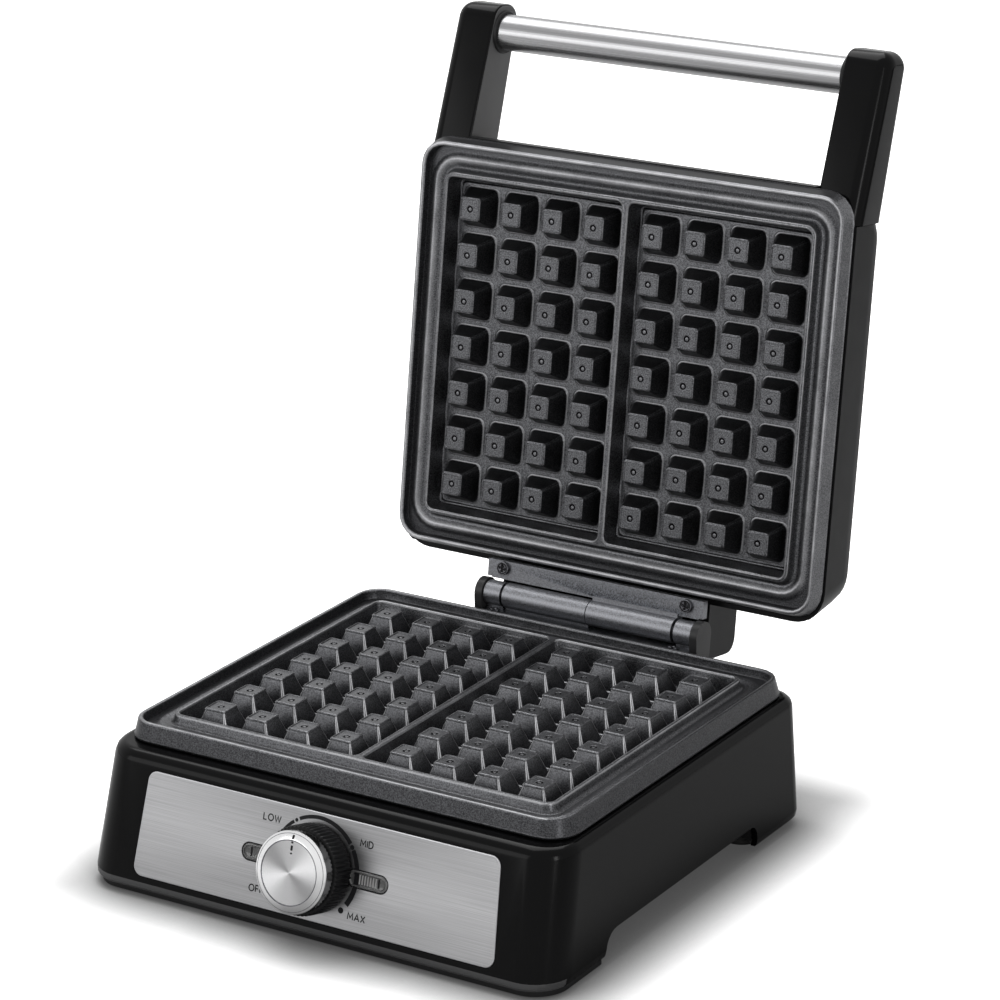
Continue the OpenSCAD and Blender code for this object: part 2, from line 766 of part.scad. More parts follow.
module knob_skirt() {
    wall = 2.4;
    color(black) at_panel() difference() {
        union() {
            difference() {
                slab(knob_gap, skirt_top) ribbed_disc(knob_skirt_d, knob_ribs);
                slab(0, skirt_top - wall) circle(d = knob_skirt_d - 2 * wall - 1.2);
            }
            slab(bush_top + 0.6, skirt_top) circle(d = shaft_d + 6);
            slab(skirt_top - over, skirt_top + 2) circle(d = knob_cap_d - 5);
        }
        slab(0, knob_socket_top) shaft_section(run_gap);
    }
}

module knob_cap() {
    r = knob_cap_d / 2;
    face = 2.4;
    color(steel) at_panel() difference() {
        rotate_extrude() polygon([[0, skirt_top], [r, skirt_top], [r, knob_h - 2.2], [r - 0.5, knob_h - 1.7],
                                  [r - face, knob_h], [r - face - 0.5, knob_h - 0.3], [0, knob_h - 0.3]]);
        slab(0, knob_socket_top) circle(d = knob_cap_d - 4.8);
    }
}

module thermostat_shaft() {
    color(steel) at_panel() difference() {
        slab(shaft_end - thermostat_back, knob_socket_top - run_gap) circle(d = shaft_d);
        slab(bush_top + 0.5, knob_h) difference() {
            circle(d = 2 * shaft_d);
            shaft_section(0);
        }
    }
}

// Body of the thermostat, screwed to the housing by its threaded bush
module thermostat() {
    color(casting) difference() {
        at_panel() difference() {
            union() {
                slab(-thermostat_back, -shell_wall - over)
                    square([thermostat_w, thermostat_h], center = true);
                slab(-shell_wall - over, -shell_wall) circle(d = thermostat_h);
                slab(-shell_wall - over, bush_top) circle(d = bush_d);
                for (x = [-11, 11], y = [-6, 6]) translate([x, y, -thermostat_back - terminal_l])
                    linear_extrude(terminal_l + over) square([6.3, 0.8], center = true);
            }
            slab(shaft_end - 0.4 - thermostat_back, bush_top + over) circle(d = shaft_d + 2 * run_gap);
        }
        translate([0, 0, bulb_line_z]) y_rod(bulb_line_r + run_gap, bulb_line_y, bulb_line_y + 4 * over);
    }
}

module thermostat_nut() {
    color(steel) at_panel() difference() {
        slab(panel_t - recess, panel_t - recess + nut_h) intersection_for(a = [0, 60, 120])
            rotate(a) square([nut_af, 3 * nut_af], center = true);
        cylinder(d = bush_d + 0.1, h = 3 * nut_h);
    }
}

// Feeler clipped under the plate and the capillary that joins it to the thermostat
module thermostat_bulb() {
    r = bulb_line_r;
    bend = bulb_line_bend;
    z0 = bulb_line_z;
    y1 = plate_y - element_half_d;
    z1 = grid_z - pan_drop - 2.2;
    module quarter(y, z, turn) {
        translate([0, y, z]) rotate([90, 0, 90]) rotate([0, 0, turn])
            rotate_extrude(angle = 90) translate([bend, 0]) circle(r);
    }
    color(copper) {
        translate([0, 0, z0]) y_rod(r, bulb_line_y, y1 - bend);
        quarter(y1 - bend, z0 + bend, 270);
        translate([0, y1, z0 + bend]) cylinder(r = r, h = z1 - z0 - 2 * bend);
        quarter(y1 + bend, z1 - bend, 90);
        translate([0, 0, z1]) y_rod(bulb_r, y1 + bend, y1 + bulb_l);
    }
}

module plate_bolts() { color(steel) at_plate() plate_bolt_set(lower_seat); }

module housing_screws() {
    color(steel) at_housing_posts() translate([0, 0, pan_flat_z])
        screw(screw_d - 2 * run_gap, housing_screw_l, screw_head_d, screw_head_h);
}

module foot(h) {
    cylinder(d1 = foot_d - 2, d2 = foot_d, h = 1);
    translate([0, 0, 1]) cylinder(d = foot_d, h = h - 1);
    cylinder(d = foot_stem_d, h = h + pan_wall + over);
}

module rubber_feet() {
    color([0.1, 0.1, 0.1]) at_feet() {
        translate([0, 0, -front_pan_z]) foot(front_pan_z);
        translate([0, 0, -rear_pan_z]) foot(rear_pan_z);
    }
}

module at_gland() { translate([-gland_x, body_rear_y, gland_z]) children(); }

module cord_gland() {
    color(black) at_gland() difference() {
        union() {
            y_rod(gland_d / 2, -shell_wall - 5, 4);
            y_rod(gland_d / 2 + 3, 0, 2);
            y_rod(gland_d / 2 + 2.5, -shell_wall - 3, -shell_wall);
        }
        y_rod(3.6, -shell_wall - 6, 5);
    }
}

module terminal_block() {
    w = 36;
    d = 18;
    h = 14;
    z = pan_flat_z + pan_wall;
    wire_z = 6;
    color([0.85, 0.85, 0.8]) translate([-20, plate_y + 40, z]) difference() {
        translate([-w / 2, -d / 2, 0]) cube([w, d, h]);
        for (i = [-1:1]) translate([i * w / 3, 0, wire_z]) {
            y_rod(2.2, -d, d);
            for (s = [-1, 1]) translate([0, s * 5, 0]) cylinder(d = 4, h = h);
        }
    }
}

// One-shot cut-out strapped under the lower plate
module thermal_fuse() {
    z = -pan_drop - 3;
    color([0.8, 0.75, 0.6]) at_plate() {
        translate([0, 20, z]) x_rod(2.8, 20, 44);
        translate([0, 20, z]) x_rod(0.8, 14, 50);
        translate([28, 14, z - 3.4]) difference() {
            cube([8, 12, 6.4]);
            translate([-over, 6, 3.4]) x_rod(2.8 + run_gap, 0, 10);
        }
    }
}

// ---- Hinge ----

module lug_profile() {
    r = 6;
    circle(r);
    translate([-2.6, shelf_z - hinge_z]) square([2.6 + r, hinge_z - shelf_z]);
}

module hinge_bracket() {
    color(casting) difference() {
        union() {
            translate([-lug_out, bracket_front, shelf_z])
                cube([2 * lug_out, ledge_back_y - 3 - bracket_front, bracket_top - shelf_z]);
            at_hinge() {
                both_sides() along_x(lug_x, lug_out) lug_profile();
                along_x(-barrel_l, -barrel_gap / 2) {
                    circle(barrel_r);
                    translate([-2.6, shelf_z - hinge_z]) square([2.6 + barrel_r, hinge_z - shelf_z]);
                }
            }
        }
        at_hinge() x_rod(pin_d / 2 + run_gap, -lug_out - over, lug_out + over);
        for (s = [-1, 1]) translate([s * bracket_screw_x, bracket_screw_y, shelf_z - over])
            cylinder(d = screw_d + 0.4, h = bracket_screw_l);
    }
}

module hinge_pin() { color(steel) at_hinge() x_rod(pin_d / 2, -lug_out, lug_out); }

module bracket_screws() {
    color(steel) for (s = [-1, 1]) translate([s * bracket_screw_x, bracket_screw_y, bracket_top])
        mirror([0, 0, 1]) screw(screw_d - 2 * run_gap, bracket_screw_l, screw_head_d, screw_head_h);
}

module hinge_leaf() {
    axis = [0, hinge_y, axis_up];
    color(casting) at_lid() difference() {
        union() {
            translate([-leaf_half_w, leaf_front, leaf_bottom])
                cube([2 * leaf_half_w, leaf_wide_rear - leaf_front, leaf_t]);
            translate([-lug_out, leaf_front, leaf_bottom])
                cube([2 * lug_out, leaf_rear - leaf_front, leaf_t]);
            translate(axis) along_x(barrel_gap / 2, barrel_l) {
                circle(barrel_r);
                translate([leaf_rear - hinge_y - over, 0]) square([hinge_y - leaf_rear + over, leaf_t + 1]);
            }
            for (s = [-1, 1])
                translate([s * leaf_screw_x, leaf_screw_y + 1.2, (leaf_bottom + block_under) / 2])
                    cube([6, 6, block_under - leaf_bottom], center = true);
        }
        translate(axis) x_rod(pin_d / 2 + run_gap, -over, barrel_l + over);
        for (s = [-1, 1]) translate([s * leaf_screw_x, leaf_screw_y, leaf_bottom - over])
            cylinder(d = screw_d + 0.4, h = 20);
    }
}

module leaf_screws() {
    color(steel) at_lid() for (s = [-1, 1]) translate([s * leaf_screw_x, leaf_screw_y, leaf_bottom])
        screw(screw_d - 2 * run_gap, leaf_screw_l, screw_head_d, screw_head_h);
}

// ---- Lid, drawn closed with z = 0 at the upper peg tops ----

// How far a rounded edge of radius r has curled in at height z
function curl(z, r, top) = z <= top - r ? 0 : r - sqrt(max(0, r * r - pow(z - top + r, 2)));

module lid_slice(z, wall) {
    top = lid_top - wall;
    side_in = wall + curl(z, lid_side_r - wall, top);
    front_in = wall + curl(z, lid_front_r - wall, top);
    rear_in = side_in + lid_rear_lean * max(0, z - lid_bottom);
    r = max(lid_corner_r - side_in, 3);
    for (s = [-1, 1], y = [lid_front_y + front_in + r, lid_rear_y - rear_in - r])
        translate([s * (lid_half_w - side_in - r), y, z]) cylinder(r = r, h = slice, $fn = 32);
}

module lid_form(wall) {
    top = lid_top - wall;
    hull() {
        lid_slice(lid_bottom - (wall > 0 ? over : 0), wall);
        for (a = [0:15:75]) lid_slice(top - slice - (lid_front_r - wall) * (1 - sin(a)), wall);
        lid_slice(top - slice - (lid_side_r - wall) * 0.5, wall);
        lid_slice(top - slice, wall);
    }
}

module block_profile(in) {
    y0 = lid_rear_y - 14;
    y1 = block_rear_y - in;
    z0 = block_under + in;
    z1 = lid_top - in;
    r = block_edge_r - in;
    polygon([[y0, z0], [y1 - 1, z0], [y1, z0 + 1],
             for (a = [0:15:90]) [y1 - r + r * cos(a), z1 - r + r * sin(a)],
             [y0, z1]]);
}

// Space taken by the handle arms at the lid's front corners, grown by a wall
module arm_notch(wall) {
    x = arm_in_x - wall;
    for (s = [0, 1]) mirror([s, 0, 0]) translate([x, lid_front_y - over, -over])
        cube([arm_w + wall + over, seam_y + wall - lid_front_y + over, lid_top + 3 * over]);
}

module lid_shell() {
    color(black) at_lid() difference() {
        union() {
            difference() {
                union() {
                    lid_form(0);
                    along_x(-block_half_w, block_half_w) block_profile(0);
                }
                difference() {
                    lid_form(shell_wall);
                    arm_notch(shell_wall);
                }
                along_x(shell_wall - block_half_w, block_half_w - shell_wall) block_profile(shell_wall);
                arm_notch(0);
            }
            translate([0, plate_y, 0]) at_corners(bolt_x, bolt_y)
                slab(tray_drop + tray_t, lid_top - 0.4) circle(d = post_d);
            for (s = [-1, 1]) translate([s * leaf_screw_x, leaf_screw_y + 2, 0])
                slab(block_under, leaf_bottom + 20) circle(d = 8);
        }
        translate([0, plate_y, 0]) {
            slab(lid_bottom - over, pan_drop + seat_gap)
                rrect(lip_out_w + 2 * seat_gap, lip_out_d + 2 * seat_gap, lip_corner_r);
            at_corners(bolt_x, bolt_y) {
                slab(tray_drop, lid_top) circle(d = bolt_d + 2 * seat_gap);
                slab(upper_seat, lid_top + over) circle(d = bolt_head_d + 2 * seat_gap);
            }
        }
        translate([-lid_half_w, plate_rear_y + skirt_flare + 0.3, lid_bottom - over])
            cube([2 * lid_half_w, 40, block_under - lid_bottom + over]);
        for (s = [-1, 1]) {
            translate([s * leaf_screw_x, leaf_screw_y, leaf_bottom])
                cylinder(d = screw_d, h = leaf_screw_l + over);
            for (z = arm_screw_z) translate([s * arm_screw_x, 0, z])
                y_rod(screw_d / 2 + run_gap, seam_y - over, seam_y + shell_wall + over);
        }
    }
}

module lid_bolts() { color(steel) at_lid_plate() plate_bolt_set(upper_seat); }

module lid_plugs() {
    color(black) at_lid_plate() at_corners(bolt_x, bolt_y)
        slab(-lid_top, plug_t - lid_top) circle(d = bolt_head_d + 2 * seat_gap - 0.1);
}

// Outline of an arm in side view, drawn in by inset over part of its width
module arm_slice(x, inset, thickness = slice) {
    r = arm_end_r - inset;
    for (y = [seam_y + 2 * arm_end_r, arm_end_y + arm_end_r],
         z = [arm_lower(y) + arm_end_r, arm_upper(y) - arm_end_r])
        translate([x, y, z]) rotate([0, 90, 0]) cylinder(r = r, h = thickness, $fn = 32);
}

module handle_arm() {
    difference() {
        hull() {
            arm_slice(arm_in_x, arm_inner_r);
            arm_slice(arm_in_x + arm_inner_r, 0, arm_w - arm_inner_r - arm_edge_r);
            for (a = [45, 90])
                arm_slice(lid_half_w - slice - arm_edge_r * (1 - sin(a)), arm_edge_r * (1 - cos(a)));
        }
        translate([arm_in_x - over, seam_y, 0]) cube([arm_w + 2 * over, 4 * arm_end_r, 2 * lid_top]);
        translate([0, bar_y, bar_z]) x_rod(bar_d / 2 + run_gap, arm_in_x - over, arm_in_x + bar_socket);
        for (z = arm_screw_z) translate([arm_screw_x, 0, z])
            y_rod(screw_d / 2, seam_y - arm_screw_l, seam_y + over);
    }
}

module handle_arm_left() { color(black) at_lid() mirror([1, 0, 0]) handle_arm(); }
module handle_arm_right() { color(black) at_lid() handle_arm(); }

module handle_bar() {
    end = arm_in_x + bar_socket - 0.2;
    color(steel) at_lid() translate([0, bar_y, bar_z]) difference() {
        x_rod(bar_d / 2, -end, end);
        x_rod(bar_d / 2 - 1.2, -end - over, end + over);
    }
}

module bar_collars() {
    color(black) at_lid() both_sides() translate([0, bar_y, bar_z]) difference() {
        x_rod(bar_d / 2 + 1.6, arm_in_x - collar_t, arm_in_x);
        x_rod(bar_d / 2 + run_gap, 0, arm_in_x + over);
    }
}

module arm_screws() {
    color(steel) at_lid() both_sides() for (z = arm_screw_z)
        translate([arm_screw_x, seam_y + shell_wall, z]) rotate([90, 0, 0])
            screw(screw_d - 2 * run_gap, shell_wall + arm_screw_l - 1, screw_head_d, screw_head_h);
}

base_shell();
base_pan();
front_panel();
knob_skirt();
knob_cap();
thermostat_shaft();
thermostat();
thermostat_nut();
thermostat_bulb();
window_left();
window_right();
indicator_lamps();
lower_plate();
lower_element();
lower_clamps();
lower_reflector();
plate_bolts();
housing_screws();
rubber_feet();
cord_gland();
terminal_block();
thermal_fuse();
hinge_bracket();
hinge_pin();
bracket_screws();
hinge_leaf();
leaf_screws();
lid_shell();
upper_plate();
upper_element();
upper_clamps();
upper_reflector();
lid_bolts();
lid_plugs();
handle_arm_left();
handle_arm_right();
handle_bar();
bar_collars();
arm_screws();
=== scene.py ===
"""Looks of the waffle maker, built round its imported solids.

Lengths are in mm, apart from the studio's at the end, which are in metres as the scene is.
"""

import math

import bmesh
import bpy
from mathutils import Matrix, Vector

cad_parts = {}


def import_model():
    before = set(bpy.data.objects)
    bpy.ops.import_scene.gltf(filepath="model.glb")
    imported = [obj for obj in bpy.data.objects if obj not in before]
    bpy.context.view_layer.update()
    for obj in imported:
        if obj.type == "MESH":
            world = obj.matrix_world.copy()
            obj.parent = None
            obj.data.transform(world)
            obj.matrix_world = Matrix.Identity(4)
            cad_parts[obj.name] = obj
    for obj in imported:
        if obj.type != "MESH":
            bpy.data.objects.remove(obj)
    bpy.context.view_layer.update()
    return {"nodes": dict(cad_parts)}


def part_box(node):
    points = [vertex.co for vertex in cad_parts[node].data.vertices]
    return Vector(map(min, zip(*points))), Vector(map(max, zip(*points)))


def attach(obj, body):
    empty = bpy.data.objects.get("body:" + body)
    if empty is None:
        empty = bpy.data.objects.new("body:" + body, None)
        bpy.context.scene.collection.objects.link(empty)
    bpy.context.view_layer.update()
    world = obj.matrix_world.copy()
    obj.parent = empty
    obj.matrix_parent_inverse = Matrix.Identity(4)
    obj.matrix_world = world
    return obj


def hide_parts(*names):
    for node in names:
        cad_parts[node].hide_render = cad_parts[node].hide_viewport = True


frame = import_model()

MM = 0.001

# Places and sizes shared with the solids, with angles in degrees
PLATE_Y, GRID_Z = -33.5, 73.6
HINGE_Y, HINGE_Z, AXIS_UP, OPEN_ANGLE = 82.5, 74.2, -2.0, 99.1
KNOB_Y, KNOB_Z, FRONT_TILT = -151.3315, 33.2632, 15.1
PEG_H, PEG_TOP, PEG_BASE, COL_PITCH, ROW_PITCH = 10.5, 10.4, 19.0, 23.0, 22.5
COLS, ROWS = 4, 7
CAVITY_W, CAVITY_D, CAVITY_X, WALL_DRAFT = 98.2, 164.2, 50.5, 2.3
LIP_W, LIP_D, LIP_R = 204.2, 169.2, 6.0
PLATE_W, PLATE_D, PLATE_R, RIM_W = 230.0, 196.8, 12.0, 2.4
RIM_DROP, GUTTER_DEPTH, PAN_DROP = 1.0, 4.5, 13.5
LOWER_SKIRT, UPPER_SKIRT, SKIRT_FLARE = 8.7, 7.4, 2.0
LID_HALF_W, SEAM_Y, ARM_IN_X, ARM_END_Y, ARM_END_R, ARM_GAP = 118.0, -118.5, 95.0, -196.9, 8.5, 0.25
ARM_LOW, ARM_LOW_SLOPE, ARM_HIGH, ARM_HIGH_SLOPE = 8.7, 0.25, 36.0, 0.174
BAR_Y, BAR_D, BAR_SOCKET, COLLAR_T = -183.6, 17.6, 8.0, 1.5
PANEL_TOP, PANEL_H, PANEL_HALF_TOP, PANEL_HALF_BOTTOM, PANEL_R = 25.0, 48.9, 93.52, 96.08, 5.0
WINDOW_X, WINDOW_L, WINDOW_H = 28.0, 21.0, 7.6
SKIRT_D, CAP_D, KNOB_H, SKIRT_TOP, KNOB_RIBS = 40.0, 36.8, 20.0, 12.5, 60
CAP_RING = 3.9
PANEL_PROUD, PANEL_GAP = 0.2, 0.2
LENS_RIBS, LENS_RIB_PITCH = 7, 1.4


def shift(x, y, z):
    return Matrix.Translation((x * MM, y * MM, z * MM))


def turn(degrees, axis):
    return Matrix.Rotation(math.radians(degrees), 4, axis)


WORLD = Matrix.Identity(4)
PLATE = shift(0, PLATE_Y, GRID_Z)
LID = shift(0, HINGE_Y, HINGE_Z) @ turn(-OPEN_ANGLE, "X") @ shift(0, -HINGE_Y, -AXIS_UP)
LID_PLATE = LID @ shift(0, PLATE_Y, 0) @ turn(180, "Y")
PANEL = shift(0, KNOB_Y, KNOB_Z) @ turn(90 - FRONT_TILT, "X")


# ---- Materials ----


class Finish:
    """A node-based material, with short calls for the nodes that it uses."""

    def __init__(self, name, colour, rough, metal=0.0, spec=0.5):
        self.material = bpy.data.materials.new(name)
        self.material.use_nodes = True
        self.tree = self.material.node_tree
        self.shader = self.tree.nodes["Principled BSDF"]
        self.set("Base Color", (*colour, 1))
        self.set("Roughness", rough)
        self.set("Metallic", metal)
        self.set("Specular IOR Level", spec)
        self.place = self.add("ShaderNodeTexCoord").outputs["Object"]

    def set(self, socket, value):
        self.shader.inputs[socket].default_value = value

    def add(self, kind, **settings):
        node = self.tree.nodes.new(kind)
        for key, value in settings.items():
            setattr(node, key, value)
        return node

    def link(self, output, target):
        self.tree.links.new(output, self.shader.inputs[target] if isinstance(target, str) else target)

    def noise(self, scale, detail=2.0, stretch=(1, 1, 1)):
        mapping = self.add("ShaderNodeMapping")
        mapping.inputs["Scale"].default_value = stretch
        self.link(self.place, mapping.inputs["Vector"])
        node = self.add("ShaderNodeTexNoise")
        node.inputs["Scale"].default_value = scale
        node.inputs["Detail"].default_value = detail
        self.link(mapping.outputs["Vector"], node.inputs["Vector"])
        return node.outputs["Fac"]

    def spread(self, value, low, high, start=0.35, end=0.65):
        """Maps a noise value from start..end to low..high."""
        node = self.add("ShaderNodeMapRange")
        node.inputs["From Min"].default_value = start
        node.inputs["From Max"].default_value = end
        node.inputs["To Min"].default_value = low
        node.inputs["To Max"].default_value = high
        self.link(value, node.inputs["Value"])
        return node.outputs["Result"]

    def tint(self, value, low, high):
        """Colour between low and high by a value of 0..1."""
        node = self.add("ShaderNodeMix", data_type="RGBA")
        node.inputs["A"].default_value = (*low, 1)
        node.inputs["B"].default_value = (*high, 1)
        self.link(value, node.inputs["Factor"])
        return node.outputs["Result"]

    def blend(self, value, colour, other):
        """Mixes a linked colour with another by a value of 0..1."""
        node = self.add("ShaderNodeMix", data_type="RGBA")
        self.link(colour, node.inputs["A"])
        node.inputs["B"].default_value = (*other, 1)
        self.link(value, node.inputs["Factor"])
        return node.outputs["Result"]

    def math(self, kind, a, b):
        node = self.add("ShaderNodeMath", operation=kind)
        for socket, value in zip(node.inputs, (a, b)):
            if isinstance(value, (int, float)):
                socket.default_value = value
            else:
                self.link(value, socket)
        return node.outputs["Value"]

    def attribute(self, name):
        return self.add("ShaderNodeAttribute", attribute_name=name).outputs["Fac"]

    def bump(self, height, strength, depth):
        node = self.add("ShaderNodeBump")
        node.inputs["Strength"].default_value = strength
        node.inputs["Distance"].default_value = depth * MM
        self.link(height, node.inputs["Height"])
        self.link(node.outputs["Normal"], "Normal")


def scaled(colour, factor):
    return tuple(min(1.0, c * factor) for c in colour)


# Noise scales are per metre, and a low and a high are factors of the colour or roughness that they vary
MOTTLE_SCALE, MOTTLE_LOW, MOTTLE_HIGH = 22, 0.94, 1.07
SKIN_SCALE, SKIN_LOW, SKIN_HIGH, SKIN_BUMP = 60, 0.93, 1.08, 0.25


def moulded(name, colour, rough, spec, grain=0.02, grain_scale=900.0):
    """Moulded plastic: slight mottling, and a fine skin in its gloss and surface."""
    f = Finish(name, colour, rough, spec=spec)
    f.link(f.tint(f.noise(MOTTLE_SCALE, 3), scaled(colour, MOTTLE_LOW), scaled(colour, MOTTLE_HIGH)), "Base Color")
    f.link(f.spread(f.noise(SKIN_SCALE, 4), rough * SKIN_LOW, rough * SKIN_HIGH), "Roughness")
    f.bump(f.noise(grain_scale, 2), SKIN_BUMP, grain)
    return f


COATING, COATING_WEAR_AND_SHEEN, COATING_PAINTED_SHADE = (0.086, 0.087, 0.092), (0.72, 0.72, 0.74), (0.008, 0.008, 0.009)
FLAKE_SCALE, FLAKE_LOW, FLAKE_HIGH, CLOUD_SCALE = 1650, 0.5, 1.6, 70


def non_stick():
    """Non-stick coating: dark and metallic with fine flakes, lighter by wear and painted highlight where the tone is
    above 0, and darker by painted shade where it is below 0.
    """
    f = Finish("nonstick_coating", COATING, 0.4, metal=0.85, spec=0.15)
    flakes = f.noise(FLAKE_SCALE, 1)
    cloud = f.noise(CLOUD_SCALE, 3)
    colour = f.tint(f.spread(flakes, 0, 1, 0.34, 0.68), scaled(COATING, FLAKE_LOW), scaled(COATING, FLAKE_HIGH))
    tone = f.attribute("edge")
    # Wear and painted highlight where the tone is above 0, painted shade where it is below 0
    wear_and_sheen = f.math("MULTIPLY", f.math("MAXIMUM", tone, 0.0), f.spread(cloud, 0.45, 0.95))
    painted_shade = f.math("MULTIPLY", f.math("MINIMUM", tone, 0.0), -1.0)
    f.link(f.blend(painted_shade, f.blend(wear_and_sheen, colour, COATING_WEAR_AND_SHEEN), COATING_PAINTED_SHADE), "Base Color")
    uneven = f.math("ADD", f.math("MULTIPLY", flakes, 0.5), f.math("MULTIPLY", cloud, 0.5))
    f.link(f.spread(uneven, 0.3, 0.42), "Roughness")
    f.bump(flakes, 0.3, 0.02)
    return f


# The stretch of the broad streaks as a share of the fine ones', and the colours of edges: a painted highlight on
# brushed metal, and wear with painted highlight on plain metal
BROAD_STREAKS, EDGE_HIGHLIGHT, EDGE_WEAR_AND_HIGHLIGHT = 0.16, (0.36, 0.36, 0.37), (0.5, 0.5, 0.52)
BRUSHED_ANISOTROPY = 0.6


def brushed(name, colour, rough, stretch, contrast, broad_share):
    """Brushed metal: streaks where the stretch is small, in colour, gloss and surface."""
    f = Finish(name, colour, rough, metal=1.0)
    fine = f.noise(1.0, 3, stretch)
    broad = f.noise(1.0, 2, tuple(s * BROAD_STREAKS for s in stretch))
    streaks = f.math("ADD", f.math("MULTIPLY", fine, 1 - broad_share), f.math("MULTIPLY", broad, broad_share))
    shade = f.tint(f.spread(streaks, 0, 1, 0.3, 0.7), scaled(colour, 1 - contrast), scaled(colour, 1 + contrast))
    # Edges take a painted highlight
    f.link(f.blend(f.attribute("edge"), shade, EDGE_HIGHLIGHT), "Base Color")
    f.link(f.spread(streaks, rough * 0.85, rough * 1.2, 0.3, 0.7), "Roughness")
    f.set("Anisotropic", BRUSHED_ANISOTROPY)
    f.bump(fine, 0.3, 0.012)
    return f


def metal(name, colour, rough, scale=400.0, contrast=0.15, wear_and_sheen=0.0):
    """Plain metal with slight mottling, and edges made bright by wear and painted highlight, as much as the last
    argument says.
    """
    f = Finish(name, colour, rough, metal=1.0)
    mottle = f.noise(scale, 3)
    shade = f.tint(f.spread(mottle, 0, 1), scaled(colour, 1 - contrast), scaled(colour, 1 + contrast))
    # Edges lighter by wear and painted highlight
    f.link(f.blend(f.math("MULTIPLY", f.attribute("edge"), wear_and_sheen), shade, EDGE_WEAR_AND_HIGHLIGHT), "Base Color")
    f.link(f.spread(mottle, rough * 0.8, rough * 1.25), "Roughness")
    f.bump(mottle, 0.2, 0.02)
    return f


SPUN_RINGS, SPUN_SPREAD, SPUN_DARK, SPUN_LIGHT = 5000, 0.55, 0.5, 1.6


def spun(name, colour, rough, reflection_lobes, ring_share):
    """Spun aluminium: fine rings about the knob's axis, and soft light and dark painted reflections round it.

    Each lobe is its count round the axis, its turn in radians and its share of the shade."""
    f = Finish(name, colour, rough, metal=1.0)
    split = f.add("ShaderNodeSeparateXYZ")
    f.link(f.place, split.inputs["Vector"])
    x, y = split.outputs["X"], split.outputs["Y"]
    radius = f.math("SQRT", f.math("ADD", f.math("MULTIPLY", x, x), f.math("MULTIPLY", y, y)), 0)
    rings = f.add("ShaderNodeTexNoise", noise_dimensions="1D")
    rings.inputs["Scale"].default_value = SPUN_RINGS
    rings.inputs["Detail"].default_value = 2
    f.link(radius, rings.inputs["W"])
    around = f.math("ARCTAN2", y, x)
    shade = f.spread(rings.outputs["Fac"], -ring_share, ring_share, 0.3, 0.7)
    # Light and dark wedges round the axis, painted reflections
    for count, turned, share in reflection_lobes:
        wave = f.math("SINE", f.math("ADD", f.math("MULTIPLY", around, count), turned), 0)
        shade = f.math("ADD", shade, f.math("MULTIPLY", wave, share))
    shade = f.spread(shade, 0, 1, -SPUN_SPREAD, SPUN_SPREAD)
    f.link(f.tint(shade, scaled(colour, SPUN_DARK), scaled(colour, SPUN_LIGHT)), "Base Color")
    f.set("Anisotropic", BRUSHED_ANISOTROPY)
    tangent = f.add("ShaderNodeTangent", direction_type="RADIAL", axis="Z")
    f.link(tangent.outputs["Tangent"], "Tangent")
    f.bump(rings.outputs["Fac"], 0.15, 0.006)
    return f


def clear_ribbed():
    """Clear lens plastic, slightly smoky."""
    f = Finish("lens_plastic", (0.2, 0.2, 0.2), 0.1)
    f.set("Transmission Weight", 0.5)
    f.set("IOR", 1.49)
    f.link(f.tint(f.noise(300, 2), (0.13, 0.13, 0.13), (0.24, 0.24, 0.24)), "Base Color")
    f.bump(f.noise(500, 2), 0.1, 0.02)
    return f


def printed():
    """Dark print, slightly uneven. It also paints shade round the lenses and on the leaf's screw heads."""
    f = Finish("print_and_painted_shade", (0.006, 0.006, 0.007), 0.5, spec=0.15)
    f.link(f.tint(f.noise(1800, 2), (0.004, 0.004, 0.005), (0.01, 0.01, 0.011)), "Base Color")
    return f


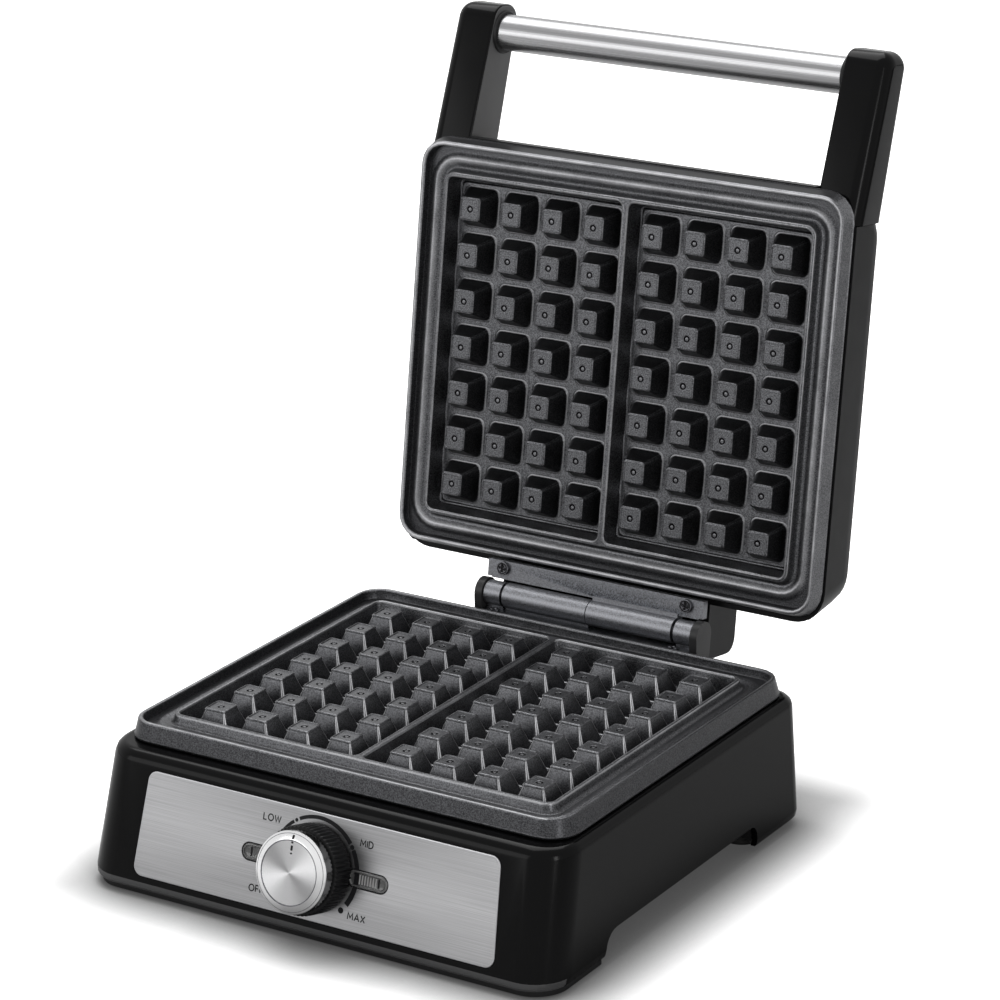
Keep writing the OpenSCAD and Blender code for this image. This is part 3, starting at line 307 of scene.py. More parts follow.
FINE_GRAIN = (0.008, 1100.0)
FINISH = {
    "gloss_black": moulded("gloss_black_moulding", (0.0018, 0.0018, 0.002), 0.16, 0.085, 0.003, 350.0),
    "side_black": moulded("satin_black_moulding", (0.005, 0.005, 0.0054), 0.36, 0.11, *FINE_GRAIN),
    "hem_grey": moulded("hem_moulding", (0.05, 0.05, 0.051), 0.4, 0.3, *FINE_GRAIN),
    "block_grey": moulded("block_moulding", (0.03, 0.03, 0.031), 0.4, 0.2, *FINE_GRAIN),
    # The arm's inner face and outer side are lighter greys, painted light
    "arm_side_painted_light": moulded("arm_side_painted_light_moulding", (0.024, 0.024, 0.0245), 0.38, 0.14, *FINE_GRAIN),
    "arm_inner_painted_light": moulded("arm_inner_painted_light_moulding", (0.085, 0.085, 0.086), 0.42, 0.4, 0.01, 1100.0),
    "matte_black": moulded("matte_black_moulding", (0.012, 0.012, 0.0125), 0.5, 0.2, 0.03, 1400.0),
    "rubber": moulded("rubber", (0.02, 0.02, 0.02), 0.75, 0.2, 0.04, 1200.0),
    "pale_plastic": moulded("pale_plastic", (0.72, 0.7, 0.62), 0.45, 0.4),
    "nonstick": non_stick(),
    "cast_metal": metal("speckled_casting", (0.08, 0.084, 0.094), 0.42, 1400.0, 0.8, 0.25),
    "panel_steel": brushed("brushed_panel_steel", (0.28, 0.28, 0.285), 0.34, (16, 3000, 1), 0.17, 0.12),
    "bar_steel": brushed("brushed_bar_steel", (0.275, 0.275, 0.28), 0.25, (2600, 2600, 5), 0.42, 0.6),
    "plain_steel": metal("plated_steel", (0.5, 0.5, 0.51), 0.35),
    "dark_screw": metal("blackened_screw", (0.12, 0.12, 0.13), 0.3, 900.0, 0.3),
    # The knob's face, ring and wall carry painted reflections round their axis
    "spun_aluminium": spun("spun_aluminium", (0.4, 0.4, 0.405), 0.26, ((2, 0.0, 0.42), (4, 0.17, 0.16)), 0.1),
    "turned_ring": spun("turned_ring", (0.6, 0.6, 0.605), 0.2, ((1, -0.52, 0.36), (2, 0.87, 0.26)), 0.05),
    "turned_wall": spun("turned_wall", (0.34, 0.34, 0.345), 0.16, ((1, -2.36, 0.5), (3, 0.4, 0.15)), 0.05),
    "zinc": metal("zinc_plate", (0.5, 0.5, 0.52), 0.4, 250.0, 0.2),
    "copper": metal("drawn_copper", (0.72, 0.42, 0.28), 0.3),
    "tray_aluminium": metal("pressed_aluminium", (0.7, 0.7, 0.71), 0.38, 90.0, 0.1),
    "lamp_glass": moulded("amber_lamp", (0.55, 0.2, 0.06), 0.15, 0.5),
    "clear_plastic": clear_ribbed(),
    "lens_rib": moulded("lens_rib_painted_highlight", (0.3, 0.3, 0.3), 0.2, 0.5, 0.004, 500.0),
    "print_and_shade": printed(),
}


# ---- Mesh building ----


class Shape:
    """Vertices in mm with an edge tone each, and faces."""

    def __init__(self):
        self.points, self.wear, self.faces = [], [], []

    def ring(self, points, wear=0.0):
        """Adds a loop of points; wear is one value for all of them, or one each."""
        first = len(self.points)
        self.points += [tuple(p) for p in points]
        self.wear += list(wear) if isinstance(wear, (list, tuple)) else [wear] * len(points)
        return list(range(first, len(self.points)))

    def loft(self, loops, cap_start=False, cap_end=False, closed=True):
        """Joins loops of equally many points; each loop is (points, wear)."""
        rings = [self.ring(points, wear) for points, wear in loops]
        for a, b in zip(rings, rings[1:]):
            for i in range(len(a) if closed else len(a) - 1):
                j = (i + 1) % len(a)
                self.faces.append((a[i], a[j], b[j], b[i]))
        if cap_start:
            self.faces.append(tuple(reversed(rings[0])))
        if cap_end:
            self.faces.append(tuple(rings[-1]))
        return self

    def solid(self, loops):
        return self.loft(loops, cap_start=True, cap_end=True)


SQUARE = 0.001  # the radius of a corner that isn't rounded


def rounded(hx, hy, radii, z, cx=0.0, cy=0.0, steps=5):
    """Rounded rectangle at height z, of half sizes hx and hy; radii are for the corners ++, -+, --, +-."""
    if isinstance(radii, (int, float)):
        radii = (radii,) * 4
    points = []
    for k, (sx, sy) in enumerate(((1, 1), (-1, 1), (-1, -1), (1, -1))):
        r = max(SQUARE, min(radii[k], hx, hy))
        for i in range(steps + 1):
            a = math.radians(90 * k + 90 * i / steps)
            points.append((cx + sx * (hx - r) + r * math.cos(a), cy + sy * (hy - r) + r * math.sin(a), z))
    return points


NEARLY_STRAIGHT, CORNER_REACH = 88, 0.48


def soften(profile, steps=3, hold=0.35):
    """Rounds the corners of a profile of (u, z, radius). Gives (u, z, wear), with wear 1 on outer roundings.

    A rounding takes less than half of either side, and points at the distance hold keep those sides flat."""
    out = [(profile[0][0], profile[0][1], 0.0)]
    for before, here, after in zip(profile, profile[1:], profile[2:]):
        p, a, b = Vector(here[:2]), Vector(before[:2]), Vector(after[:2])
        to_a, to_b = (a - p), (b - p)
        la, lb = to_a.length, to_b.length
        to_a.normalize()
        to_b.normalize()
        half = 0.5 * math.acos(max(-1, min(1, to_a.dot(to_b))))
        if here[2] <= 0 or half > math.radians(NEARLY_STRAIGHT):
            out.append((p.x, p.y, 0.0))
            continue
        reach = min(here[2] / math.tan(half), CORNER_REACH * la, CORNER_REACH * lb)
        r = reach * math.tan(half)
        outer = 1.0 if (to_a.x * to_b.y - to_a.y * to_b.x) > 0 else 0.0
        centre = p + (to_a + to_b).normalized() * (r / math.sin(half))
        if la > reach + hold * 2:
            q = p + to_a * (reach + hold)
            out.append((q.x, q.y, 0.0))
        start, end = p + to_a * reach - centre, p + to_b * reach - centre
        for i in range(steps + 1):
            q = start.slerp(end, i / steps)
            out.append((centre.x + q.x, centre.y + q.y, outer))
        if lb > reach + hold * 2:
            q = p + to_b * (reach + hold)
            out.append((q.x, q.y, 0.0))
    out.append((profile[-1][0], profile[-1][1], 0.0))
    return out


CAP_SEGMENTS, ROUND_SEGMENTS = 192, 96


def lathe(profile, segments):
    """Loops of a turned form about Z from (radius, z) points."""
    angles = [2 * math.pi * i / segments for i in range(segments)]
    return [([(r * math.cos(a), r * math.sin(a), z) for a in angles], 0.0) for r, z in profile]


def mark_sharp(bm, angle):
    """Shades smooth, but for edges that bend more than angle."""
    for face in bm.faces:
        face.smooth = True
    for edge in bm.edges:
        edge.smooth = len(edge.link_faces) != 2 or edge.calc_face_angle(0.0) < math.radians(angle)


def to_object(name, bm, matrix, finish, body, replaces=()):
    """Makes a piece of a bmesh, and ends the bmesh."""
    mesh = bpy.data.meshes.new(name)
    bm.to_mesh(mesh)
    bm.free()
    mesh.materials.append(FINISH[finish].material)
    piece = bpy.data.objects.new(name, mesh)
    bpy.context.scene.collection.objects.link(piece)
    piece.matrix_world = matrix
    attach(piece, body)
    if replaces:
        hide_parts(*replaces)
    return piece


PIECE_WELD, SLIVER = 0.002, 0.001


def build(name, shape, matrix, finish, body, replaces=(), smooth=30):
    """Makes a piece from a Shape in mm, placed by matrix and riding on body."""
    bm = bmesh.new()
    layer = bm.verts.layers.float.new("edge")
    made = []
    for point, wear in zip(shape.points, shape.wear):
        vert = bm.verts.new([c * MM for c in point])
        vert[layer] = wear
        made.append(vert)
    for face in shape.faces:
        bm.faces.new([made[i] for i in face])
    bmesh.ops.remove_doubles(bm, verts=bm.verts, dist=PIECE_WELD * MM)
    bmesh.ops.dissolve_degenerate(bm, edges=bm.edges, dist=SLIVER * MM)
    bmesh.ops.recalc_face_normals(bm, faces=bm.faces)
    mark_sharp(bm, smooth)
    return to_object(name, bm, matrix, finish, body, replaces)


def add_finishes(piece, *finishes):
    """Adds finishes to a piece, and gives the index of each."""
    for finish in finishes:
        piece.data.materials.append(FINISH[finish].material)
    return range(1, len(finishes) + 1)


# Angles in degrees, but for the bend in radians from which an edge has a tone
NODE_WELD, FLAT_ANGLE, EDGE_ANGLE, NODE_SMOOTH, EDGE_BEND = 0.004, 0.8, 38, 34, 0.3


def softened(name, node, width, finish, body):
    """A node's form with its sharp edges rounded by width, and a tone where it bends outwards, which metals take as
    wear and painted highlight.
    """
    bm = bmesh.new()
    bm.from_mesh(frame["nodes"][node].data)
    bmesh.ops.remove_doubles(bm, verts=bm.verts, dist=NODE_WELD * MM)
    bmesh.ops.dissolve_limit(bm, angle_limit=math.radians(FLAT_ANGLE), verts=bm.verts, edges=bm.edges)
    edges = [e for e in bm.edges if len(e.link_faces) == 2 and e.calc_face_angle(0.0) > math.radians(EDGE_ANGLE)]
    bmesh.ops.bevel(bm, geom=edges, offset=width * MM, segments=2, profile=0.5, affect="EDGES", clamp_overlap=True)
    layer = bm.verts.layers.float.new("edge")
    for vert in bm.verts:
        bends = [e.calc_face_angle_signed(0.0) for e in vert.link_edges if len(e.link_faces) == 2]
        vert[layer] = 1.0 if bends and max(bends) > EDGE_BEND else 0.0
    mark_sharp(bm, NODE_SMOOTH)
    piece = to_object(name, bm, WORLD, finish, body, (node,))
    weight = piece.modifiers.new("normals", "WEIGHTED_NORMAL")
    weight.keep_sharp = True
    return piece


# ---- Waffle plates ----


# A tone is above 0 where the coating is lighter, by wear and painted highlight, and below 0 where it is darker, by
# painted shade. Outer roundings take wear and painted highlight
EDGE_WEAR_AND_SHEEN = 0.2
PEG_STEPS, CORNER_LINES = 8, (3, 5)
PEG_TOP_R, PEG_BASE_R, PEG_LEAST_R, PEG_TOP_ROUND, PEG_FOOT_ROUND, PEG_MARGIN = 1.2, 3.2, 0.9, 0.6, 0.7, 1.4
WALL_MARGIN = 0.15
# Dimple in a peg's top: radius, height and tone from its edge inwards. The tone paints shade in the ring groove and a
# slight highlight on the raised middle
DIMPLE = ((2.1, 0, 0), (1.8, 0, 0), (1.66, -0.06, 0), (1.5, -0.6, -1), (0.94, -0.7, -1), (0.8, -0.16, 0.1),
          (0.3, -0.1, 0.1))
CAVITY_R, CAVITY_LEAST_R, CAVITY_FLOOR_ROUND, CAVITY_LIP_ROUND, CAVITY_STRIP = 3.5, 2.0, 0.9, 0.8, 0.6
LIP_EDGE, LIP_EDGE_R = 1.4, 4.9
# The lip's outer edge: place outwards, height below the lip's top, and whether it has the lip's tone, a painted
# highlight
LIP_ROUND = ((-1.1, 0, 0), (-0.95, 0.08, 1), (-0.75, 0.35, 1), (-0.5, 1.0, 0))
# The foot of the lip: place outwards, and height above the gutter's floor
LIP_FOOT = ((0, 1.8), (0.6, 0.6), (1.2, 0.1))
# The roll along the middle of the gutter, from the lip outwards, with a painted highlight on its crest and painted
# shade in the grooves beside it
ROLL_IN, ROLL_W, ROLL_STEPS, ROLL_FADE = 1.6, 7.8, 20, 0.75
# The foot of the rim: place inwards of it, and height above the gutter's floor. Its edges: place and depth
RIM_FOOT = ((0.4, 0), (0.05, 0.5))
RIM_ROUND = ((0, 0.9), (0.12, 0.4), (0.5, 0.1))
SKIRT_START, SKIRT_ROUND, UNDER_ROUND, UNDER_START, LIT_FROM = 1.0, 0.7, 0.4, 4.0, -0.6
GUTTER_WALL, PAN_CHAMFER = 3.0, 1.0


def waffle_plate(name, matrix, skirt, skirt_tone, lit_side, lit_tone, peg_tones, gutter, body, node):
    """A cast plate: two cavities of pegs, lip, gutter with its roll, rim and flared skirt.

    The skirt has a tone of painted shade, and another on the side that is lit, painted for how the light falls there.
    The gutter is given as the tones of its lip, inner groove, roll, outer groove and rim, painted highlights above 0
    and painted shade below, and the rise of its roll."""
    shape = Shape()
    for side in (-1, 1):
        cx = side * CAVITY_X
        for i in range(COLS):
            for j in range(ROWS):
                px, py = cx + (i - (COLS - 1) / 2) * COL_PITCH, (j - (ROWS - 1) / 2) * ROW_PITCH
                add_peg(shape, px, py, *peg_tones)
        add_cavity_wall(shape, cx, side)
    top = -RIM_DROP
    floor = top - GUTTER_DEPTH
    foot = top - skirt
    under = floor - GUTTER_WALL
    lip_tone, inner_tone, roll_tone, groove_tone, rim_tone, rise = gutter
    lip_side = [(u, top - depth, lip_tone * toned) for u, depth, toned in LIP_ROUND]
    lip_side += [(u, floor + height, inner_tone) for u, height in LIP_FOOT]
    # Painted shade in the grooves, rising to a painted highlight on the roll's crest
    for i in range(ROLL_STEPS + 1):
        t = i / ROLL_STEPS
        swell = 0.5 - 0.5 * math.cos(2 * math.pi * t)
        low_tone = inner_tone + (groove_tone - inner_tone) * t
        tone = low_tone + (roll_tone - low_tone) * swell ** ROLL_FADE
        lip_side.append((ROLL_IN + ROLL_W * t, floor + rise * swell, tone))
    rim_side = [(-RIM_W - u, floor + height, groove_tone) for u, height in RIM_FOOT]
    inner_tones, outer_tones = (groove_tone, 0, 0.5 * rim_tone), (rim_tone, 0, skirt_tone)
    rim_side += [(-RIM_W + u, top - depth, tone) for (u, depth), tone in zip(RIM_ROUND, inner_tones)]
    rim_side.append((-RIM_W / 2, top, rim_tone))
    rim_side += [(-u, top - depth, tone) for (u, depth), tone in zip(reversed(RIM_ROUND), outer_tones)]
    skirt_side = soften([(0, top - SKIRT_START, 0), (SKIRT_FLARE, foot, SKIRT_ROUND), (-RIM_W, foot, UNDER_ROUND),
                         (-RIM_W, under, UNDER_ROUND), (-UNDER_START, under, 0)], steps=4)
    rim_side += [(u, z, skirt_tone) for u, z, w in skirt_side[1:]]
    loops = [(rounded(LIP_W / 2 + u, LIP_D / 2 + u, LIP_R + u, z), w) for u, z, w in lip_side]
    for u, z, w in rim_side:
        ring = rounded(PLATE_W / 2 + u, PLATE_D / 2 + u, PLATE_R + u, z)
        # The skirt on the lit side takes lit_tone, painted for how light falls on that side
        tones = [lit_tone if u > LIT_FROM and lit_side * x > PLATE_W / 2 - PLATE_R / 2 else w for x, y, z in ring]
        loops.append((ring, tones))
    for grow, z in ((UNDER_ROUND, under), (0, under - UNDER_ROUND), (0, -PAN_DROP + PAN_CHAMFER),
                    (-PAN_CHAMFER, -PAN_DROP)):
        loops.append((rounded(LIP_W / 2 + grow, LIP_D / 2 + grow, LIP_R, z), 0.0))
    shape.loft(loops, cap_end=True)
    build(name, shape, matrix, "nonstick", body, (node,), smooth=40)


def add_peg(shape, px, py, high_tone, low_tone, corner_tone):
    """One square peg in its cell of floor, with a ringed dimple in its top.

    The tones are those of its walls' top and foot, and of the two lines down each of its rounded corners, and they
    paint light and shade."""
    half_top, half_base = PEG_TOP / 2, PEG_BASE / 2
    side = soften([(half_base + PEG_MARGIN, -PEG_H, 0), (half_base, -PEG_H, PEG_FOOT_ROUND),
                   (half_top, 0, PEG_TOP_ROUND), (half_top - PEG_MARGIN, 0, 0)], steps=3, hold=0.25)
    loops = [(rounded(COL_PITCH / 2, ROW_PITCH / 2, SQUARE, -PEG_H, px, py, PEG_STEPS), 0.0)]
    for u, z, w in side:
        r = PEG_TOP_R + (PEG_BASE_R - PEG_TOP_R) * (u - half_top) / (half_base - half_top)
        points = rounded(u, u, max(PEG_LEAST_R, r), z, px, py, PEG_STEPS)
        # Painted shade on the walls, and a painted tone on two lines down each corner
        if -PEG_H + WALL_MARGIN < z < -WALL_MARGIN:
            wall = high_tone + (low_tone - high_tone) * -z / PEG_H
            tones = [corner_tone if k % (PEG_STEPS + 1) in CORNER_LINES else wall for k in range(len(points))]
        else:
            tones = EDGE_WEAR_AND_SHEEN * w
        loops.append((points, tones))
    for r, z, w in DIMPLE:
        loops.append((rounded(r, r, r, z, px, py, PEG_STEPS), w))
    shape.loft(loops, cap_end=True)


def add_cavity_wall(shape, cx, side):
    """Floor strip, leaning wall and the first part of the lip round one cavity."""
    top = -RIM_DROP
    loops = [(rounded(COL_PITCH * COLS / 2, ROW_PITCH * ROWS / 2, SQUARE, -PEG_H, cx, 0), 0.0)]
    wall = soften([(-WALL_DRAFT - CAVITY_STRIP, -PEG_H, 0), (-WALL_DRAFT, -PEG_H, CAVITY_FLOOR_ROUND),
                   (0, top, CAVITY_LIP_ROUND), (LIP_EDGE, top, 0)], steps=3, hold=0.2)
    for u, z, w in wall[1:-1]:
        r = max(CAVITY_R + u, CAVITY_LEAST_R)
        loops.append((rounded(CAVITY_W / 2 + u, CAVITY_D / 2 + u, r, z, cx, 0), EDGE_WEAR_AND_SHEEN * w))
    # The two cavities' lips meet square along the middle
    radii = (LIP_EDGE_R, SQUARE, SQUARE, LIP_EDGE_R) if side > 0 else (SQUARE, LIP_EDGE_R, LIP_EDGE_R, SQUARE)
    loops.append((rounded(CAVITY_W / 2 + LIP_EDGE, CAVITY_D / 2 + LIP_EDGE, radii, top, cx, 0), 0.0))
    shape.loft(loops)


# The tones paint each plate's light and shade: the lower plate's pegs get bright corner lines, the upper plate's pegs
# dark walls
waffle_plate("lower_waffle_plate", PLATE, LOWER_SKIRT, -0.45, 1, -0.5, (-0.25, -0.6, 1.0),
             (0.3, -0.25, 0.0, -0.5, 0.2, 0.9), "base", "lower_plate")
waffle_plate("upper_waffle_plate", LID_PLATE, UPPER_SKIRT, -0.8, -1, 0.1, (-0.75, -0.7, -0.45),
             (0.42, -0.08, 0.3, -0.45, 0.5, 1.5), "lid", "upper_plate")


# ---- Control face ----


def panel_outline(grow, z, steps=8):
    """The steel panel's outline on the control face, a little wider at its foot."""
    points = []
    top, bottom = PANEL_TOP + grow, PANEL_TOP - PANEL_H - grow
    wt, wb, r = PANEL_HALF_TOP + grow, PANEL_HALF_BOTTOM + grow, PANEL_R + min(grow, 0)
    for k, (x, y) in enumerate(((wt - r, top - r), (r - wt, top - r), (r - wb, bottom + r), (wb - r, bottom + r))):
        for i in range(steps + 1):
            a = math.radians(90 * k + 90 * i / steps)
            points.append((x + r * math.cos(a), y + r * math.sin(a), z))
    return points


def cut_by(piece, cutters):
    """Takes the cutters' forms out of a piece, and removes the cutters."""
    for form in cutters:
        modifier = piece.modifiers.new("cut", "BOOLEAN")
        modifier.operation, modifier.solver, modifier.object = "DIFFERENCE", "EXACT", form
    bpy.context.view_layer.update()
    evaluated = piece.evaluated_get(bpy.context.evaluated_depsgraph_get())
    mesh = bpy.data.meshes.new_from_object(evaluated)
    piece.modifiers.clear()
    piece.data = mesh
    for form in cutters:
        bpy.data.objects.remove(form)


def cutter(shape, matrix):
    """An object to cut with, of a Shape in mm placed by matrix."""
    mesh = bpy.data.meshes.new("cutter")
    mesh.from_pydata([[c * MM for c in p] for p in shape.points], [], shape.faces)
    thing = bpy.data.objects.new("cutter", mesh)
    bpy.context.scene.collection.objects.link(thing)
    thing.matrix_world = matrix
    return thing


def pill(length, height, z, cx):
    """A round-ended slot's outline at height z, its middle at cx."""
    return rounded(length / 2, height / 2, height / 2, z, cx, 0, 10)


# The panel's edge: place outwards, height and tone, which is a painted highlight along the edge
PANEL_EDGE = ((0, -0.6, 0), (0, PANEL_PROUD - 0.3, 1), (-0.12, PANEL_PROUD - 0.1, 1), (-0.4, PANEL_PROUD, 1),
              (-0.45, PANEL_PROUD, 0))
HOLE_ROOM, HOLE_REACH = 1.0, 3


def steel_panel():
    """The steel panel with its edge lighter by a painted highlight, and a hole for each window."""
    shape = Shape().solid([(panel_outline(u - PANEL_GAP, z), w) for u, z, w in PANEL_EDGE])
    piece = build("steel_panel", shape, PANEL, "panel_steel", "base", ("front_panel",), smooth=25)
    holes = []
    for s in (-1, 1):
        ends = [(pill(WINDOW_L + HOLE_ROOM, WINDOW_H + HOLE_ROOM, z, s * WINDOW_X), 0)
                for z in (-HOLE_REACH, HOLE_REACH)]
        holes.append(cutter(Shape().solid(ends), PANEL))
    cut_by(piece, holes)


steel_panel()


# A lens and the dark ring round it, painted shade in its slot: place outwards and height
LENS_PROFILE = ((0, -3.4), (0, -0.2), (-0.2, 0.25), (-0.6, 0.45), (-0.95, 0.45), (-1.25, -0.1), (-1.6, -0.2))
SLOT_SHADE_LOW, SLOT_SHADE_HIGH = PANEL_PROUD - 0.5, PANEL_PROUD - 0.15
SLOT_SHADE_PROFILE = ((0.45, SLOT_SHADE_LOW), (0.45, SLOT_SHADE_HIGH), (0.05, SLOT_SHADE_HIGH), (0.05, SLOT_SHADE_LOW), (0.45, SLOT_SHADE_LOW))
LENS_RIB_HALF, LENS_RIB_FOOT, LENS_RIB_TOP, LENS_RIB_ROOM = 0.3, -0.25, 0.3, 1.7
PARTITION_HALF, PARTITION_R, PARTITION_ASIDE, PARTITION_FOOT, PARTITION_TOP = 0.35, 0.2, 0.9, -0.3, 0.1


def window(name, side, node):
    """A clear lens in its slot: a rim, fine ribs across its middle between two dark partitions, and painted shade
    round it.
    """
    middle = side * WINDOW_X
    half_h = WINDOW_H / 2 - LENS_RIB_ROOM
    lens = Shape().solid([(pill(WINDOW_L + 2 * u, WINDOW_H + 2 * u, z, middle), 0.0) for u, z in LENS_PROFILE])
    build(name, lens, PANEL, "clear_plastic", "base", (node,), smooth=50)
    ribs = Shape()
    half = LENS_RIB_HALF * LENS_RIB_PITCH
    for k in range(LENS_RIBS):
        x = middle + (k - (LENS_RIBS - 1) / 2) * LENS_RIB_PITCH
        ribs.solid([([(x - half, y, LENS_RIB_FOOT), (x, y, LENS_RIB_TOP), (x + half, y, LENS_RIB_FOOT)], 0.0)
                    for y in (-half_h, half_h)])
    # The ribs are a lighter grey, painted highlight
    build(name + "_ribs", ribs, PANEL, "lens_rib", "base", smooth=20)
    # A dark ring of painted shade round the lens, and the two partitions
    dark = Shape().loft([(pill(WINDOW_L + 2 * u, WINDOW_H + 2 * u, z, middle), 0.0) for u, z in SLOT_SHADE_PROFILE])
    for s in (-1, 1):
        x = middle + s * (LENS_RIBS / 2 * LENS_RIB_PITCH + PARTITION_ASIDE)
        dark.solid([(rounded(PARTITION_HALF, half_h, PARTITION_R, z, x, 0), 0.0)
                    for z in (PARTITION_FOOT, PARTITION_TOP)])
    build(name + "_slot_shade", dark, PANEL, "print_and_shade", "base", smooth=40)


window("lens_left", -1, "window_left")
window("lens_right", 1, "window_right")


# The ribbed skirt: place inwards and height, with its ribs between two heights
SKIRT_PROFILE = ((2.2, 0.9), (0.4, 0.9), (0, 1.3), (0, 11.6), (0.35, 12.2), (1.0, SKIRT_TOP), (4.0, SKIRT_TOP))
RIBS_LOW, RIBS_HIGH, RIB_DEPTH, RIB_SHARPNESS, RIB_SEGMENTS, PLAIN_DEPTH = 1.0, 12.4, 0.55, 1.5, 6, 0.3
# The cap, by radius and height: its wall, its sloping ring, the dark lines in and round the ring, painted shade in
# grooves, and its face
CAP_R = CAP_D / 2
FACE_R = CAP_R - CAP_RING
LINE_R = 17.3
RING_DROP, RING_RUN = 1.27, CAP_R - 0.85 - FACE_R
LINE_Z = KNOB_H - 0.08 - RING_DROP * ((LINE_R - FACE_R - 0.4) / RING_RUN)
CAP_WALL = ((CAP_R - 1.5, SKIRT_TOP), (CAP_R - 0.4, SKIRT_TOP), (CAP_R, SKIRT_TOP + 0.4), (CAP_R, KNOB_H - 2.0))
CAP_SLOPE = ((CAP_R, KNOB_H - 2.0), (CAP_R - 0.1, KNOB_H - 1.6), (CAP_R - 0.45, KNOB_H - 1.35),
             (FACE_R + 0.4, KNOB_H - 0.08), (FACE_R + 0.15, KNOB_H), (FACE_R + 0.1, KNOB_H - 0.4))
FACE_GROOVE = ((FACE_R + 0.15, KNOB_H - 0.3), (FACE_R - 0.4, KNOB_H - 0.3))
RING_GROOVE = ((LINE_R + 0.12, LINE_Z - 0.03), (LINE_R + 0.1, LINE_Z + 0.01), (LINE_R - 0.1, LINE_Z + 0.09),
               (LINE_R - 0.12, LINE_Z))
CAP_FACE = ((FACE_R - 0.3, KNOB_H - 0.5), (FACE_R - 0.35, KNOB_H - 0.2), (FACE_R - 0.5, KNOB_H - 0.12),
            (9, KNOB_H - 0.12), (3, KNOB_H - 0.12), (0.05, KNOB_H - 0.12))
# Dashes of the pointer: where each starts and ends from the axis, and the surface's height there below the knob's top
MARK_DASHES = ((14.95, 16.8, -0.1, -0.87), (13.1, 14.0, -0.12, -0.12), (9.9, 12.2, -0.12, -0.12),
               (8.3, 9.0, -0.12, -0.12))
MARK_HALF, MARK_CORNER, MARK_LIFT = 0.55, 0.35, (-0.04, 0.05)


def knob():
    """Ribbed black skirt, and the turned aluminium cap on it with its pointer."""
    segments = KNOB_RIBS * RIB_SEGMENTS
    loops = []
    for inset, z in SKIRT_PROFILE:
        ring = []
        for i in range(segments):
            a = 2 * math.pi * i / segments
            ribbed = RIBS_LOW < z < RIBS_HIGH
            dip = RIB_DEPTH * (0.5 - 0.5 * math.cos(KNOB_RIBS * a)) ** RIB_SHARPNESS if ribbed else PLAIN_DEPTH
            r = SKIRT_D / 2 - inset - dip
            ring.append((r * math.cos(a), r * math.sin(a), z))
        loops.append((ring, 0.0))
    skirt = Shape().solid(loops)
    build("knob_ribbed_skirt", skirt, PANEL, "side_black", "knob", ("knob_skirt",), smooth=50)
    wall = Shape().loft(lathe(CAP_WALL, CAP_SEGMENTS))
    build("knob_turned_wall", wall, PANEL, "turned_wall", "knob", ("knob_cap",), smooth=25)
    ring = Shape().loft(lathe(CAP_SLOPE, CAP_SEGMENTS))
    build("knob_turned_ring", ring, PANEL, "turned_ring", "knob", smooth=25)
    # Darker metal in the grooves, painted shade
    grooves = Shape().loft(lathe(FACE_GROOVE, ROUND_SEGMENTS)).loft(lathe(RING_GROOVE, ROUND_SEGMENTS))
    build("knob_groove_lines", grooves, PANEL, "dark_screw", "knob", smooth=25)
    face = Shape().loft(lathe(CAP_FACE, CAP_SEGMENTS), cap_end=True)
    build("knob_spun_face", face, PANEL, "spun_aluminium", "knob", smooth=25)
    mark = Shape()
    for y0, y1, low, high in MARK_DASHES:
        half = (y1 - y0) / 2
        ring = rounded(MARK_HALF, half, MARK_CORNER, 0, 0, y0 + half)
        mark.solid([([(x, y, KNOB_H + low + (high - low) * (y - y0) / (2 * half) + lift) for x, y, z in ring], 0.0)
                    for lift in MARK_LIFT])
    build("knob_pointer_mark", mark, PANEL, "print_and_shade", "knob", smooth=30)


knob()

INK_Z = PANEL_PROUD + 0.03
# The dial's scale. Its lines are given by where they start and end in degrees from the top, and its dots by angle
# and radius. A line's half width grows from the first line's start to the end of the span
SCALE_R, SCALE_STEPS = 22.4, 24
SCALE_LINES, SCALE_DOTS = ((-57, -36), (-28, 50), (58, 124)), ((-32.3, 0.85), (54.4, 1.1), (133.5, 1.4))
LINE_START, LINE_SPAN, LINE_THIN, LINE_GAIN = -57, 184, 0.7, 0.6


def dial_scale():
    """Printed scale round the knob: a line that thickens from low to high, with dots at the named settings."""
    shape = Shape()
    for start, end in SCALE_LINES:
        outer, inner = [], []
        for i in range(SCALE_STEPS + 1):
            a = start + (end - start) * i / SCALE_STEPS
            w = LINE_THIN + LINE_GAIN * (a - LINE_START) / LINE_SPAN
            across, up = math.sin(math.radians(a)), math.cos(math.radians(a))
            outer.append(((SCALE_R + w) * across, (SCALE_R + w) * up, INK_Z))
            inner.append(((SCALE_R - w) * across, (SCALE_R - w) * up, INK_Z))
        shape.loft([(outer, 0.0), (inner, 0.0)], closed=False)
    for a, r in SCALE_DOTS:
        cx, cy = SCALE_R * math.sin(math.radians(a)), SCALE_R * math.cos(math.radians(a))
        shape.loft([(rounded(r, r, r, INK_Z, cx, cy), 0.0)], cap_end=True)
    build("dial_scale", shape, PANEL, "print_and_shade", "base", smooth=30)


dial_scale()


